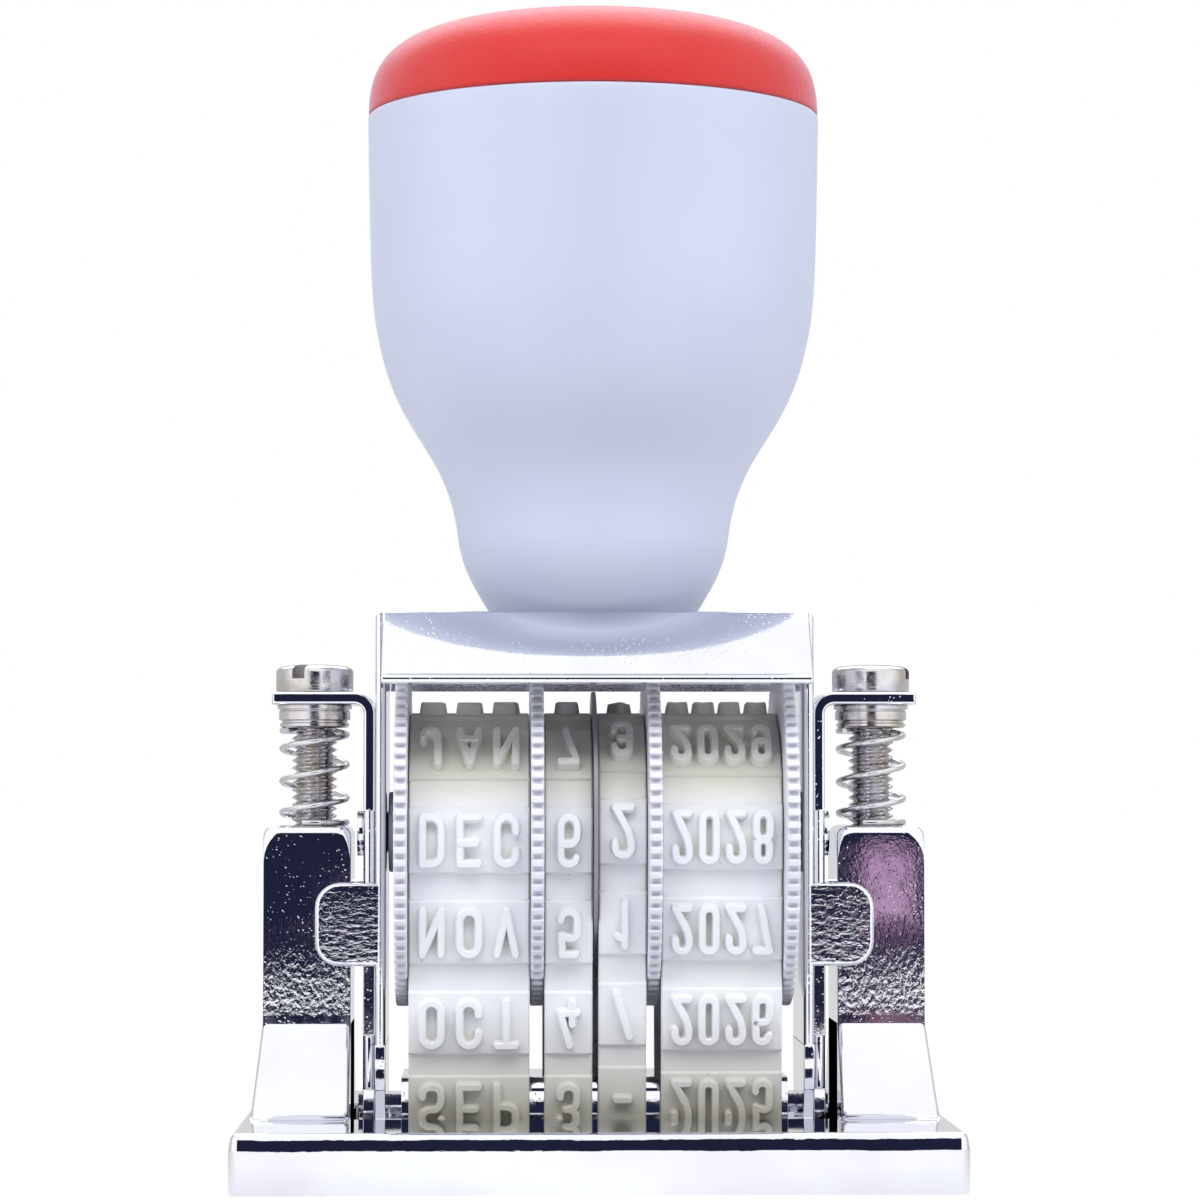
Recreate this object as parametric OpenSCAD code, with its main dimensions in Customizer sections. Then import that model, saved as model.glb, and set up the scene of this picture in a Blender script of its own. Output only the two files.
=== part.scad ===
// Hand-held band date stamp: a sprung metal frame, four type bands on thumbwheels and a round handle.
// Millimetres. +Z is up, -Y faces the user, and the origin is the middle of the base's underside.
// What is pressed down, from the yoke to the handle, is called the carriage.

/* [Base] */
// Depth of the base, front to back
base_d = 42; // [36:0.5:50]
// Thickness of the flange
flange_h = 4.4; // [3.5:0.1:6]
// Rounding of the flange's upper edges
flange_edge_r = 0.85; // [0.3:0.05:1]
// Radius of the flange's upright corners
base_corner_r = 1.2; // [1.1:0.1:4]
// Flange left free outside each column
base_margin = 1.5; // [1.2:0.1:6]
// Width of a column
column_w = 6.5; // [6:0.1:9]
// Depth of a column
column_d = 9; // [8:0.1:12]
// Height of the column tops above the table
column_top = 25.7; // [22:0.1:27]
// Rounding of a column's upper edges
column_edge_r = 0.9; // [0.3:0.1:1.4]
// Radius of a column's upright corners
column_corner_r = 0.4; // [0.2:0.1:2.5]
// Height of a column's sloping foot above the flange
foot_h = 6.7; // [4:0.1:7]
// How far a foot reaches out, in front and behind
foot_out = 3.5; // [1:0.1:5]
// How far a foot reaches out sideways
foot_side = 0.6; // [0.2:0.1:1]
// Upright step at the bottom of a foot
foot_step = 0.6; // [0.3:0.1:1.5]

/* [Screws and springs] */
// Outer diameter of an adjusting screw's thread
thread_d = 3.4; // [2.5:0.1:3.5]
// Pitch of that thread
thread_pitch = 0.55; // [0.5:0.05:1]
// Depth of that thread
thread_depth = 0.4; // [0.2:0.05:0.5]
// Length of screw held in a column
thread_hold = 14; // [8:0.5:18]
// Diameter of a screw's head
head_d = 5.8; // [5:0.1:6.2]
// Height of a screw's head
head_h = 2.1; // [1.6:0.1:3]
// Width of a screw's slot
slot_w = 1; // [0.6:0.1:1.4]
// Depth of a screw's slot
slot_h = 1.1; // [0.6:0.1:1.3]
// Distance from a column's inner face to its screw
screw_inset = 2.9; // [2.8:0.1:3.5]
// Outer diameter of a return spring
spring_d = 5.3; // [5:0.1:5.6]
// Diameter of the spring's wire
spring_wire = 0.45; // [0.3:0.05:0.6]
// Number of turns of a spring
spring_turns = 3; // [2:1:4]
// Diameter of a spring seat
seat_d = 5.6; // [5.2:0.1:5.8]
// Thickness of a spring seat
seat_h = 1.7; // [1:0.1:2.5]

/* [Carriage] */
// Travel of the carriage when the handle is pressed
press_travel = 4; // [2:0.1:4.5]
// Height of the wheel axle above the table
axle_z = 25.2; // [24:0.1:28]
// Diameter of the wheel axle
axle_d = 3; // [2:0.1:4]
// Diameter of the axle's riveted ends
rivet_d = 3.6; // [3.3:0.1:5]
// Thickness of the axle's riveted ends
rivet_h = 0.55; // [0.3:0.05:0.6]
// Sheet thickness of the yoke
yoke_t = 0.8; // [0.6:0.05:1.2]
// Room above the thumbwheels, under the hood
hood_room = 2.4; // [1.5:0.1:4]
// How far the hood reaches past the thumbwheels, front and back, without its lips
hood_over = 0.05; // [0:0.05:2]
// Depth of the hood's flat top, front to back
hood_flat = 17.6; // [14:0.1:20]
// Height of the hood's skirts, from its top
hood_h = 5.4; // [5:0.1:7]
// Height of the rolled lip on the skirts
lip_h = 0.7; // [0.4:0.1:1]
// How far that lip stands out
lip_out = 0.3; // [0.1:0.05:0.6]
// How far the side plates narrow at their lower ends, front and back
plate_narrow = 1.6; // [0.5:0.1:2.2]
// Height of that narrowing
plate_taper_h = 4; // [2:0.1:6]
// Reach of a guide tab from the yoke's side plate
tab_reach = 4.4; // [3:0.1:5]
// Height of a guide tab
tab_h = 6.1; // [5.4:0.1:7]
// Corner radius of a guide tab
tab_r = 1.8; // [1:0.1:2.6]
// Sheet thickness of an ear plate
ear_t = 0.9; // [0.6:0.05:1.2]
// Height of the ears' undersides above the axle
ear_rise = 9.5; // [8.5:0.1:11]
// Outer bend radius of an ear
ear_bend_r = 1.6; // [1.3:0.1:1.6]
// Ear left free outside its screw's axis
ear_reach = 3; // [2.6:0.1:4]

/* [Wheels] */
// Radius of the thumbwheels' toothed rims
rim_r = 13; // [12:0.1:13.4]
// Width of a toothed rim
rim_t = 0.95; // [0.7:0.05:1.4]
// Teeth on a rim
rim_teeth = 88; // [60:1:100]
// Depth of the teeth
tooth_h = 0.45; // [0.2:0.05:0.8]
// Radius of the drums that the bands run on
drum_r = 7.5; // [6.5:0.1:7.7]
// Room between the outer wheels and the side plates
side_room = 0.7; // [0.4:0.05:1.5]
// Wall of the outer wheels' hubs
hub_wall = 1.5; // [1:0.1:3]
// Radius of the disc between the two day bands
separator_r = 10.5; // [10:0.1:11]
// Thickness of that disc
separator_t = 0.3; // [0.2:0.05:0.6]
// Depth of its tail, which keeps it from turning with the wheels
tail_d = 7; // [4:0.1:8]

/* [Bands] */
// Width of the month band and of the year band
wide_band_w = 8.7; // [7:0.1:11]
// Width of the two day bands
narrow_band_w = 3.35; // [3.3:0.05:5]
// Thickness of a band between its rows
band_t = 0.8; // [0.5:0.05:1]
// Height of the raised rows
row_h = 0.3; // [0.1:0.05:0.4]
// Length of a raised row along its band
row_len = 4.4; // [4:0.1:5.6]
// Height of the type above its row
type_h = 0.85; // [0.5:0.05:1]
// Height of the lowest type above the table, at rest
type_rise = 0.9; // [0.3:0.1:1.5]
// Rows on a band
band_rows = 12; // [10:1:14]
// Depth of the type bridge, front to back
bridge_d = 11; // [8:0.1:12]
// Height of the type bridge
bridge_h = 4.3; // [3:0.1:5]
// Corner radius of the type bridge
bridge_r = 1; // [0.5:0.1:1.2]
// Height of the tongues at the bridge's ends
tongue_h = 1.4; // [0.8:0.1:2]
// Depth of those tongues, front to back
tongue_d = 3.2; // [2:0.1:4]
// How far the tongues stand out of the ear plates
tongue_out = 0.4; // [0.1:0.1:0.6]

/* [Handle] */
// Height of the handle's body
handle_h = 37.7; // [34:0.1:46]
// Radius of the handle's foot on the yoke
handle_foot_r = 7.65; // [7:0.05:8.4]
// Radius of the handle's neck
neck_r = 10.2; // [9.4:0.05:11.5]
// Height of the neck above the yoke
neck_h = 6.1; // [5:0.1:8]
// Radius of the handle's shoulder
shoulder_r = 16.1; // [14:0.1:17]
// Height of the shoulder above the yoke
shoulder_h = 20.5; // [18:0.1:24]
// Radius of the handle's upper rim
handle_top_r = 17; // [16:0.05:19]
// Thickness of the handle's floor
handle_floor = 2.5; // [1.5:0.1:4]
// Wall of the handle
handle_wall = 2.2; // [1.5:0.1:3]
// Height of the cap above the handle's body
cap_h = 7.3; // [5:0.1:12]
// Step from the handle's rim in to the cap
cap_step = 0.05; // [0:0.05:0.5]
// Wall of the cap
cap_wall = 2; // [1.4:0.1:3]
// Depth of the cap's plug in the handle
plug_h = 5; // [3:0.1:8]
// Diameter of the threaded insert
insert_d = 6.8; // [6:0.1:8]
// Length of the threaded insert
insert_h = 9; // [6:0.1:11]
// Diameter of the handle screw
handle_screw_d = 4; // [3:0.1:4.4]
// Diameter of the handle screw's head
handle_head_d = 6.4; // [5.4:0.1:6.8]
// Height of the handle screw's head
handle_head_h = 1.8; // [1.2:0.1:2.2]
// Thickness of the lock washer
washer_h = 0.6; // [0.4:0.05:0.8]

/* [Clearances] */
// Radial gap between a shaft and its hole
fit_gap = 0.05; // [0.02:0.01:0.08]
// Radial gap round the screws in the ears and seats
slide_gap = 0.2; // [0.1:0.05:0.3]
// Gap along the axle between neighbouring wheels
wheel_gap = 0.1; // [0.05:0.01:0.14]
// Gap between a band's edges and the rims
band_side_gap = 0.15; // [0.14:0.01:0.2]
// Gap between a drum and its band
drum_gap = 0.3; // [0.2:0.05:0.4]
// Gap between the disc's tail and the bridge
tail_gap = 0.2; // [0.1:0.05:0.4]
// Gap between the bridge and a band
bridge_gap = 0.05; // [0.02:0.01:0.1]
// Gap between a column and the ear plate beside it
column_gap = 0.9; // [0.8:0.05:1.5]
// Gap between a column and the guide tabs
tab_gap = 0.5; // [0.3:0.05:0.8]
// Gap between the ear plates and the guide tabs
ear_side_gap = 0.6; // [0.3:0.05:1]
// Gap left under the guide tabs at full travel
stop_gap = 0.3; // [0.3:0.05:1]
// Gap round what passes through the base's window
window_gap = 0.4; // [0.3:0.05:1]
// Gap between a screw's head and its ear, at rest
head_gap = 0.05; // [0.02:0.01:0.1]

/* [Hidden] */
$fn = 96;

// Places along the axle, from the middle outwards; the two halves mirror each other
narrow_drum_x = separator_t / 2 + wheel_gap;
narrow_band_x = separator_t / 2 + band_side_gap;
narrow_rim_x = narrow_band_x + narrow_band_w + band_side_gap;
wide_drum_x = narrow_rim_x + rim_t + wheel_gap;
wide_band_x = narrow_rim_x + rim_t + band_side_gap;
wide_rim_x = wide_band_x + wide_band_w + band_side_gap;
wheels_end_x = wide_rim_x + rim_t;
yoke_in_x = wheels_end_x + side_room;
yoke_out_x = yoke_in_x + yoke_t;
ear_out_x = yoke_out_x + ear_t;
column_in_x = ear_out_x + column_gap;
column_out_x = column_in_x + column_w;
screw_x = column_in_x + screw_inset;
base_w = 2 * (column_out_x + base_margin);
hood_end_x = yoke_in_x + yoke_t / 4;
bridge_end_x = wheels_end_x - rim_t / 2;

// Places front to back
tab_in_y = column_d / 2 + tab_gap;
plate_half_d = tab_in_y + yoke_t;
plate_foot_half_d = plate_half_d - plate_narrow;
ear_half_d = tab_in_y - ear_side_gap;
foot_half_d = column_d / 2 + foot_out;
hood_half_d = rim_r + hood_over;

// Heights
foot_top = flange_h + foot_h;
tab_z = foot_top + press_travel + stop_gap;
ear_z = axle_z + ear_rise;
ear_top = ear_z + ear_t;
seat_z = ear_z - seat_h;
head_z = ear_top + head_gap;
yoke_top = axle_z + rim_r + hood_room + yoke_t;
hood_z = yoke_top - hood_h;
bridge_z = type_rise + type_h + row_h + band_t + bridge_gap;
tongue_z = bridge_z + (bridge_h - tongue_h) / 2;
plate_z = bridge_z;

// The bands' loop: round the wheels at the top and the bridge's two corners at the bottom
band_inner_r = drum_r + drum_gap;
loop_r = band_inner_r + band_t / 2;
corner_r = bridge_r + bridge_gap + band_t / 2;
corner_y = bridge_d / 2 - bridge_r;
corner_z = bridge_z + bridge_r;
loop_drop = axle_z - corner_z;
loop_span = sqrt(corner_y ^ 2 + loop_drop ^ 2);
lean = asin((loop_r - corner_r) / loop_span) - atan(corner_y / loop_drop);
straight_len = sqrt(loop_span ^ 2 - (loop_r - corner_r) ^ 2);
// Lengths along half the loop, from the bottom middle, where the flat, corner and straight end
flat_end = corner_y;
corner_end = flat_end + corner_r * (90 - lean) * PI / 180;
straight_end = corner_end + straight_len;
half_loop = straight_end + loop_r * (90 + lean) * PI / 180;
row_pitch = 2 * half_loop / band_rows;
// How far each band stands off its printing place
month_shift = 0.45;
day_units_shift = 0.45;
day_tens_shift = 0.95;
year_shift = 0.7;

// The window lets the side plates and the leaning type through, down to full travel
type_out = band_t / 2 + row_h + type_h;
type_half_d = corner_y + (corner_r + type_out) / cos(lean)
    + (flange_h + press_travel - corner_z) * tan(lean);
window_half_d = max(plate_half_d, type_half_d) + window_gap;

// Handle
cap_z = yoke_top + handle_h;
plug_r = handle_top_r - handle_wall - fit_gap;
boss_r = insert_d / 2 + handle_wall;
boss_h = insert_h + handle_wall;

// The point of a cubic curve at t, and a run of n + 1 points along it
function bezier(p, t) =
    p[0] * (1 - t) ^ 3 + 3 * p[1] * t * (1 - t) ^ 2 + 3 * p[2] * t ^ 2 * (1 - t) + p[3] * t ^ 3;
function bezier_run(p, n) = [for (i = [0:n]) bezier(p, i / n)];
// The list without its first point
function tail(list) = [for (i = [1:len(list) - 1]) list[i]];

// A point at length s along the front half of the bands' loop, moved out by o, as [y, z]
function front_point(s, o) =
    s <= flat_end ? [-s, corner_z - corner_r - o] :
    s <= corner_end ? let (turn = (s - flat_end) / corner_r * 180 / PI)
        [-corner_y - (corner_r + o) * sin(turn), corner_z - (corner_r + o) * cos(turn)] :
    s <= straight_end ? let (run = s - corner_end)
        [-corner_y - (corner_r + o) * cos(lean) - run * sin(lean),
            corner_z - (corner_r + o) * sin(lean) + run * cos(lean)] :
    let (turn = 90 - lean + (s - straight_end) / loop_r * 180 / PI)
        [-(loop_r + o) * sin(turn), axle_z - (loop_r + o) * cos(turn)];
// The same round the whole loop
function loop_point(s, o) =
    let (r = s - 2 * half_loop * floor(s / (2 * half_loop)))
    r <= half_loop ? front_point(r, o) :
    let (p = front_point(2 * half_loop - r, o)) [-p[0], p[1]];

// Extrudes a [y, z] outline along X
module along_x(x0, x1) {
    translate([x0, 0, 0]) rotate([90, 0, 90]) linear_extrude(x1 - x0) children();
}

// Extrudes an [x, z] outline along Y
module along_y(y0, y1) {
    translate([0, y1, 0]) rotate([90, 0, 0]) linear_extrude(y1 - y0) children();
}

// A cylinder along X through the axle's centre
module on_axle(r, x0, x1) {
    translate([x0, 0, axle_z]) rotate([0, 90, 0]) cylinder(r = r, h = x1 - x0);
}

// A part of the right half, or its mirror image
module on_side(side) {
    if (side == "left") mirror([1, 0, 0]) children();
    else children();
}

// A flat rectangle whose two upper corners are round
module round_top(w, h, r) {
    translate([-w / 2, 0]) square([w, h - r]);
    translate([r - w / 2, 0]) square([w - 2 * r, h]);
    for (s = [-1, 1]) translate([s * (w / 2 - r), h - r]) intersection() {
        circle(r);
        translate([-r, 0]) square([2 * r, r]);
    }
}

// A flat rectangle with four round corners
module round_rect(w, h, r) {
    translate([r - w / 2, 0]) square([w - 2 * r, h]);
    translate([-w / 2, r]) square([w, h - 2 * r]);
    for (sx = [-1, 1], y = [r, h - r]) translate([sx * (w / 2 - r), y]) circle(r);
}

// A block with round upright corners and round upper edges
module round_block(w, d, h, corner, edge_r) {
    edge = min(edge_r, corner);
    along_y(corner - d / 2, d / 2 - corner) round_top(w, h, edge);
    along_x(corner - w / 2, w / 2 - corner) round_top(d, h, edge);
    for (sx = [-1, 1], sy = [-1, 1]) translate([sx * (w / 2 - corner), sy * (d / 2 - corner), 0])
        rotate_extrude() {
            square([corner, h - edge]);
            square([corner - edge, h]);
            translate([corner - edge, h - edge]) intersection() {
                circle(edge);
                square(edge);
            }
        }
}

module column() {
    translate([(column_in_x + column_out_x) / 2, 0, 0]) intersection() {
        along_y(-column_d / 2, column_d / 2) round_top(column_w, column_top, column_edge_r);
        along_x(-column_w / 2, column_w / 2) round_top(column_d, column_top, column_edge_r);
        translate([0, -column_d / 2, 0]) linear_extrude(column_top)
            round_rect(column_w, column_d, column_corner_r);
    }
    intersection() {
        along_y(-foot_half_d, foot_half_d) polygon([[column_in_x, 0], [column_out_x + foot_side, 0],
            [column_out_x + foot_side, flange_h + foot_step], [column_out_x, foot_top],
            [column_in_x, foot_top]]);
        along_x(column_in_x, column_out_x + foot_side) polygon([[-foot_half_d, 0], [foot_half_d, 0],
            [foot_half_d, flange_h + foot_step], [column_d / 2, foot_top], [-column_d / 2, foot_top],
            [-foot_half_d, flange_h + foot_step]]);
    }
}

module base_frame() {
    color("gainsboro") difference() {
        union() {
            round_block(base_w, base_d, flange_h, base_corner_r, flange_edge_r);
            for (side = ["left", "right"]) on_side(side) column();
        }
        translate([-column_in_x, -window_half_d, -1])
            cube([2 * column_in_x, 2 * window_half_d, flange_h + foot_h]);
        for (sx = [-1, 1]) translate([sx * screw_x, 0, column_top - thread_hold - 1])
            cylinder(d = thread_d + 2 * fit_gap, h = thread_hold + 2);
    }
}

// The thread is a stack of rings, so that the screw turns freely in its hole
module adjusting_screw(slot_turn) {
    thread_r = thread_d / 2;
    rings = floor((ear_z - column_top) / thread_pitch);
    ring_points = [for (i = [0:rings - 1], j = [0, 1])
        [thread_r - thread_depth * j, column_top + (i + j / 2 + 0.25) * thread_pitch]];
    color("silver") translate([screw_x, 0, 0]) difference() {
        rotate_extrude() polygon(concat(
            [[0, column_top - thread_hold], [thread_r, column_top - thread_hold]], ring_points,
            [[thread_r, ear_z], [thread_r, head_z], [head_d / 2, head_z]],
            bezier_run([[head_d / 2, head_z + 0.7 * head_h], [0.49 * head_d, head_z + 0.95 * head_h],
                [0.3 * head_d, head_z + head_h], [0, head_z + head_h]], 6)));
        rotate([0, 0, slot_turn]) translate([-slot_w / 2, -head_d, head_z + head_h - slot_h])
            cube([slot_w, 2 * head_d, slot_h + 1]);
    }
}

// Points along a return spring's wire; both ends stand upright for one wire's thickness
spring_r = (spring_d - spring_wire) / 2;
curl_rings = 8;
wire_sides = 6;
spring_steps = spring_turns * curl_rings;
coil_z0 = column_top + spring_wire;
coil_z1 = seat_z - spring_wire;
function spring_turn(i) = 360 * i / curl_rings;
function spring_place(i) = [spring_r * cos(spring_turn(i)), spring_r * sin(spring_turn(i)),
    coil_z0 + (coil_z1 - coil_z0) * i / spring_steps];
spring_points = concat([[spring_r, 0, column_top]], [for (i = [0:spring_steps]) spring_place(i)],
    [[spring_r * cos(spring_turn(spring_steps)), spring_r * sin(spring_turn(spring_steps)), seat_z]]);
spring_last = len(spring_points) - 1;
spring_gap = min([for (i = [0:spring_last], j = [i + curl_rings - 2:spring_last])
    norm(spring_points[i] - spring_points[j])]) - spring_wire;
echo(spring_least_gap_mm = spring_gap);

// The ring of wire_sides points round the wire at point i
function wire_ring(i) =
    let (p = spring_points[i],
        before = spring_points[max(i - 1, 0)],
        after = spring_points[min(i + 1, spring_last)],
        out = [p[0], p[1], 0] / norm([p[0], p[1]]),
        across = cross(after - before, out),
        side = across / norm(across))
    [for (k = [0:wire_sides - 1]) p + spring_wire / 2
        * (cos(360 * k / wire_sides) * out + sin(360 * k / wire_sides) * side)];

module return_spring() {
    points = [for (i = [0:spring_last], q = wire_ring(i)) q];
    walls = [for (i = [0:spring_last - 1], k = [0:wire_sides - 1])
        let (a = i * wire_sides + k, b = i * wire_sides + (k + 1) % wire_sides)
        each [[a, b, a + wire_sides], [b, b + wire_sides, a + wire_sides]]];
    first_end = [for (k = [1:wire_sides - 2]) [0, k + 1, k]];
    last = spring_last * wire_sides;
    last_end = [for (k = [1:wire_sides - 2]) [last, last + k, last + k + 1]];
    color("silver") translate([screw_x, 0, 0])
        polyhedron(points, concat(walls, first_end, last_end));
}

module spring_seat() {
    color("silver") translate([screw_x, 0, seat_z]) difference() {
        cylinder(d = seat_d, h = seat_h);
        translate([0, 0, -1]) cylinder(d = thread_d + 2 * slide_gap, h = seat_h + 2);
    }
}

// What passes through the yoke's and the ear plates' sides: the axle and the bridge's tongues
module side_holes() {
    on_axle(axle_d / 2 + fit_gap, -column_in_x, column_in_x);
    translate([-column_in_x, -tongue_d / 2 - fit_gap, tongue_z - fit_gap])
        cube([2 * column_in_x, tongue_d + 2 * fit_gap, tongue_h + 2 * fit_gap]);
}

// A slope of the hood from above its lip up to a flat top, as [depth, height]
function hood_slope(half_d, flat_half_d, top) =
    let (foot = hood_z + lip_h, run = half_d - flat_half_d, climb = top - foot)
    bezier_run([[half_d, foot], [half_d, foot + 0.11 * climb], [flat_half_d + 0.41 * run, top - 0.29 * climb],
        [flat_half_d, top]], 16);
function mirrored(points) = [for (i = [len(points) - 1:-1:0]) [-points[i][0], points[i][1]]];

module hood_outline() {
    lip_y = hood_half_d + lip_out;
    hollow_half_d = hood_half_d - yoke_t;
    outside = concat([[lip_y, hood_z], [lip_y, hood_z + lip_h]],
        hood_slope(hood_half_d, hood_flat / 2, yoke_top));
    inside = concat([[hollow_half_d, hood_z - 1]],
        hood_slope(hollow_half_d, hood_flat / 2 - 0.35 * yoke_t, yoke_top - yoke_t));
    difference() {
        polygon(concat(outside, mirrored(outside)));
        polygon(concat(inside, mirrored(inside)));
    }
}

module side_plate_outline() {
    polygon([[-plate_foot_half_d, plate_z], [plate_foot_half_d, plate_z],
        [plate_half_d, plate_z + plate_taper_h], [plate_half_d, yoke_top], [-plate_half_d, yoke_top],
        [-plate_half_d, plate_z + plate_taper_h]]);
}

module guide_tab_outline() {
    end_x = yoke_out_x + tab_reach;
    translate([yoke_in_x, tab_z]) square([end_x - tab_r - yoke_in_x, tab_h]);
    translate([yoke_in_x, tab_z + tab_r]) square([end_x - yoke_in_x, tab_h - 2 * tab_r]);
    for (z = [tab_z + tab_r, tab_z + tab_h - tab_r]) translate([end_x - tab_r, z]) circle(tab_r);
}

module yoke() {
    color("gainsboro") difference() {
        union() {
            along_x(-hood_end_x, hood_end_x) hood_outline();
            for (side = ["left", "right"]) on_side(side) {
                along_x(yoke_in_x, yoke_out_x) side_plate_outline();
                for (y = [-plate_half_d, tab_in_y]) along_y(y, y + yoke_t) guide_tab_outline();
            }
        }
        side_holes();
        translate([0, 0, hood_z]) cylinder(d = handle_screw_d + 2 * slide_gap, h = hood_h + 1);
    }
}

// The bent outline of an ear plate: an upright arm, a bend and a level ear
module ear_plate_outline() {
    bend_x = yoke_out_x + ear_bend_r;
    bend_z = ear_top - ear_bend_r;
    translate([yoke_out_x, plate_z]) square([ear_t, bend_z - plate_z]);
    translate([bend_x, ear_z]) square([screw_x + ear_reach - bend_x, ear_t]);
    translate([bend_x, bend_z]) intersection() {
        difference() {
            circle(ear_bend_r);
            circle(ear_bend_r - ear_t);
        }
        translate([-ear_bend_r, 0]) square(ear_bend_r);
    }
}

module ear_plate() {
    color("gainsboro") difference() {
        along_y(-ear_half_d, ear_half_d) ear_plate_outline();
        side_holes();
        translate([screw_x, 0, ear_z - 1]) cylinder(d = thread_d + 2 * slide_gap, h = ear_t + 2);
    }
}

module wheel_axle() {
    color("silver") {
        on_axle(axle_d / 2, -ear_out_x, ear_out_x);
        for (side = ["left", "right"]) on_side(side) on_axle(rivet_d / 2, ear_out_x, ear_out_x + rivet_h);
    }
}

module rim_outline() {
    tooth_share = 0.62;
    step = 360 / rim_teeth;
    root_r = rim_r - tooth_h;
    polygon([for (i = [0:rim_teeth - 1], c = [[root_r, 0], [rim_r, 0.06], [rim_r, tooth_share - 0.06],
        [root_r, tooth_share]]) c[0] * [cos((i + c[1]) * step), sin((i + c[1]) * step)]]);
}

// A thumbwheel of the right half: a drum for the band, a toothed rim and, if asked, a hub outside it
module thumbwheel(drum_x, rim_x, hub_len) {
    end_x = rim_x + rim_t;
    hub_r = axle_d / 2 + hub_wall;
    color("lightgray") difference() {
        union() {
            on_axle(drum_r, drum_x, rim_x);
            translate([0, 0, axle_z]) along_x(rim_x, end_x) rim_outline();
            if (hub_len > 0) on_axle(hub_r, rim_x, end_x + hub_len);
        }
        on_axle(axle_d / 2 + fit_gap, drum_x - 1, end_x + hub_len + 1);
    }
}

module narrow_wheel() {
    thumbwheel(narrow_drum_x, narrow_rim_x, 0);
}

module wide_wheel() {
    thumbwheel(wide_drum_x, wide_rim_x, side_room - wheel_gap);
}

module day_separator() {
    tail_end = bridge_z + bridge_h + tail_gap;
    color("darkgray") difference() {
        union() {
            on_axle(separator_r, -separator_t / 2, separator_t / 2);
            along_x(-separator_t / 2, separator_t / 2) translate([-tail_d / 2, tail_end])
                square([tail_d, axle_z - tail_end]);
        }
        on_axle(axle_d / 2 + fit_gap, -separator_t, separator_t);
    }
}

// A type band of the given width and shift: a closed loop with raised rows outside
module band(x0, width, shift) {
    row_steps = 12;
    groove_steps = 4;
    corner_steps = 8;
    wheel_steps = 20;
    groove = row_pitch - row_len;
    outside = [for (k = [0:band_rows - 1]) let (middle = k * row_pitch + shift)
        each concat(
            [for (i = [0:row_steps]) loop_point(middle + row_len * (i / row_steps - 0.5), band_t / 2 + row_h)],
            [for (i = [0:groove_steps])
                loop_point(middle + row_len / 2 + groove * i / groove_steps, band_t / 2)])];
    half_places = concat(
        [for (i = [0:corner_steps]) flat_end + (corner_end - flat_end) * i / corner_steps],
        [for (i = [0:wheel_steps]) straight_end + (half_loop - straight_end) * i / wheel_steps]);
    front = [for (s = half_places) front_point(s, -band_t / 2)];
    last = len(front) - 1;
    inside = concat(front, [for (i = [last - 1:-1:0]) [-front[i][0], front[i][1]]]);
    color("ivory") along_x(x0, x0 + width) difference() {
        polygon(outside);
        polygon(inside);
    }
}

module type_bridge() {
    color("gainsboro") {
        along_x(-bridge_end_x, bridge_end_x) translate([0, bridge_z]) round_rect(bridge_d, bridge_h, bridge_r);
        translate([-ear_out_x - tongue_out, -tongue_d / 2, tongue_z])
            cube([2 * (ear_out_x + tongue_out), tongue_d, tongue_h]);
    }
}

// The handle's outline, from its foot up to its rim, as [radius, height above the yoke]
neck = [neck_r, neck_h];
shoulder = [shoulder_r, shoulder_h];
swell = shoulder - neck;
rise = handle_h - shoulder_h;
foot_curve = [[handle_foot_r, 0], [handle_foot_r + 1, 0.27 * neck_h], [neck_r - 0.25, 0.57 * neck_h], neck];
waist_curve = [neck, neck + [0.145 * swell[0], 0.46 * swell[1]], shoulder - [0.24 * swell[0], 0.5 * swell[1]],
    shoulder];
rim_curve = [shoulder, [handle_top_r - 0.2, shoulder_h + 0.16 * rise],
    [handle_top_r - 0.2, shoulder_h + 0.38 * rise], [handle_top_r, handle_h]];
handle_curve = concat(bezier_run(foot_curve, 10), tail(bezier_run(waist_curve, 16)),
    tail(bezier_run(rim_curve, 10)));
cavity_curve = [for (p = handle_curve)
    if (p[1] > handle_floor && p[1] < handle_h - plug_h) p - [handle_wall, 0]];

module handle_body() {
    color("aliceblue") translate([0, 0, yoke_top]) difference() {
        rotate_extrude() polygon(concat([[0, 0]], handle_curve, [[0, handle_h]]));
        rotate_extrude() polygon(concat([[0, boss_h], [boss_r, boss_h], [boss_r, handle_floor],
            [cavity_curve[0][0], handle_floor]], cavity_curve, [[plug_r + fit_gap, handle_h - plug_h],
            [plug_r + fit_gap, handle_h + 1], [0, handle_h + 1]]));
        translate([0, 0, -1]) cylinder(d = insert_d + 2 * fit_gap, h = insert_h + 1);
    }
}

module handle_cap() {
    cap_r = handle_top_r - cap_step;
    dome = [[cap_r, 0], [cap_r, 0.72 * cap_h], [0.85 * cap_r, cap_h], [0, cap_h]];
    inner_r = plug_r - cap_wall;
    inner_h = cap_h - cap_wall;
    hollow = [[inner_r, 0], [inner_r, 0.72 * inner_h], [0.85 * inner_r, inner_h], [0, inner_h]];
    color("tomato") translate([0, 0, cap_z]) difference() {
        union() {
            rotate_extrude() polygon(concat([[0, 0]], bezier_run(dome, 20)));
            translate([0, 0, -plug_h]) cylinder(r = plug_r, h = plug_h + cap_wall);
        }
        rotate_extrude() polygon(concat([[0, -plug_h - 1], [inner_r, -plug_h - 1]], bezier_run(hollow, 10)));
    }
}

module handle_insert() {
    color("goldenrod") translate([0, 0, yoke_top]) difference() {
        cylinder(d = insert_d, h = insert_h);
        translate([0, 0, -1]) cylinder(d = handle_screw_d + 2 * fit_gap, h = insert_h + 2);
    }
}

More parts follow.
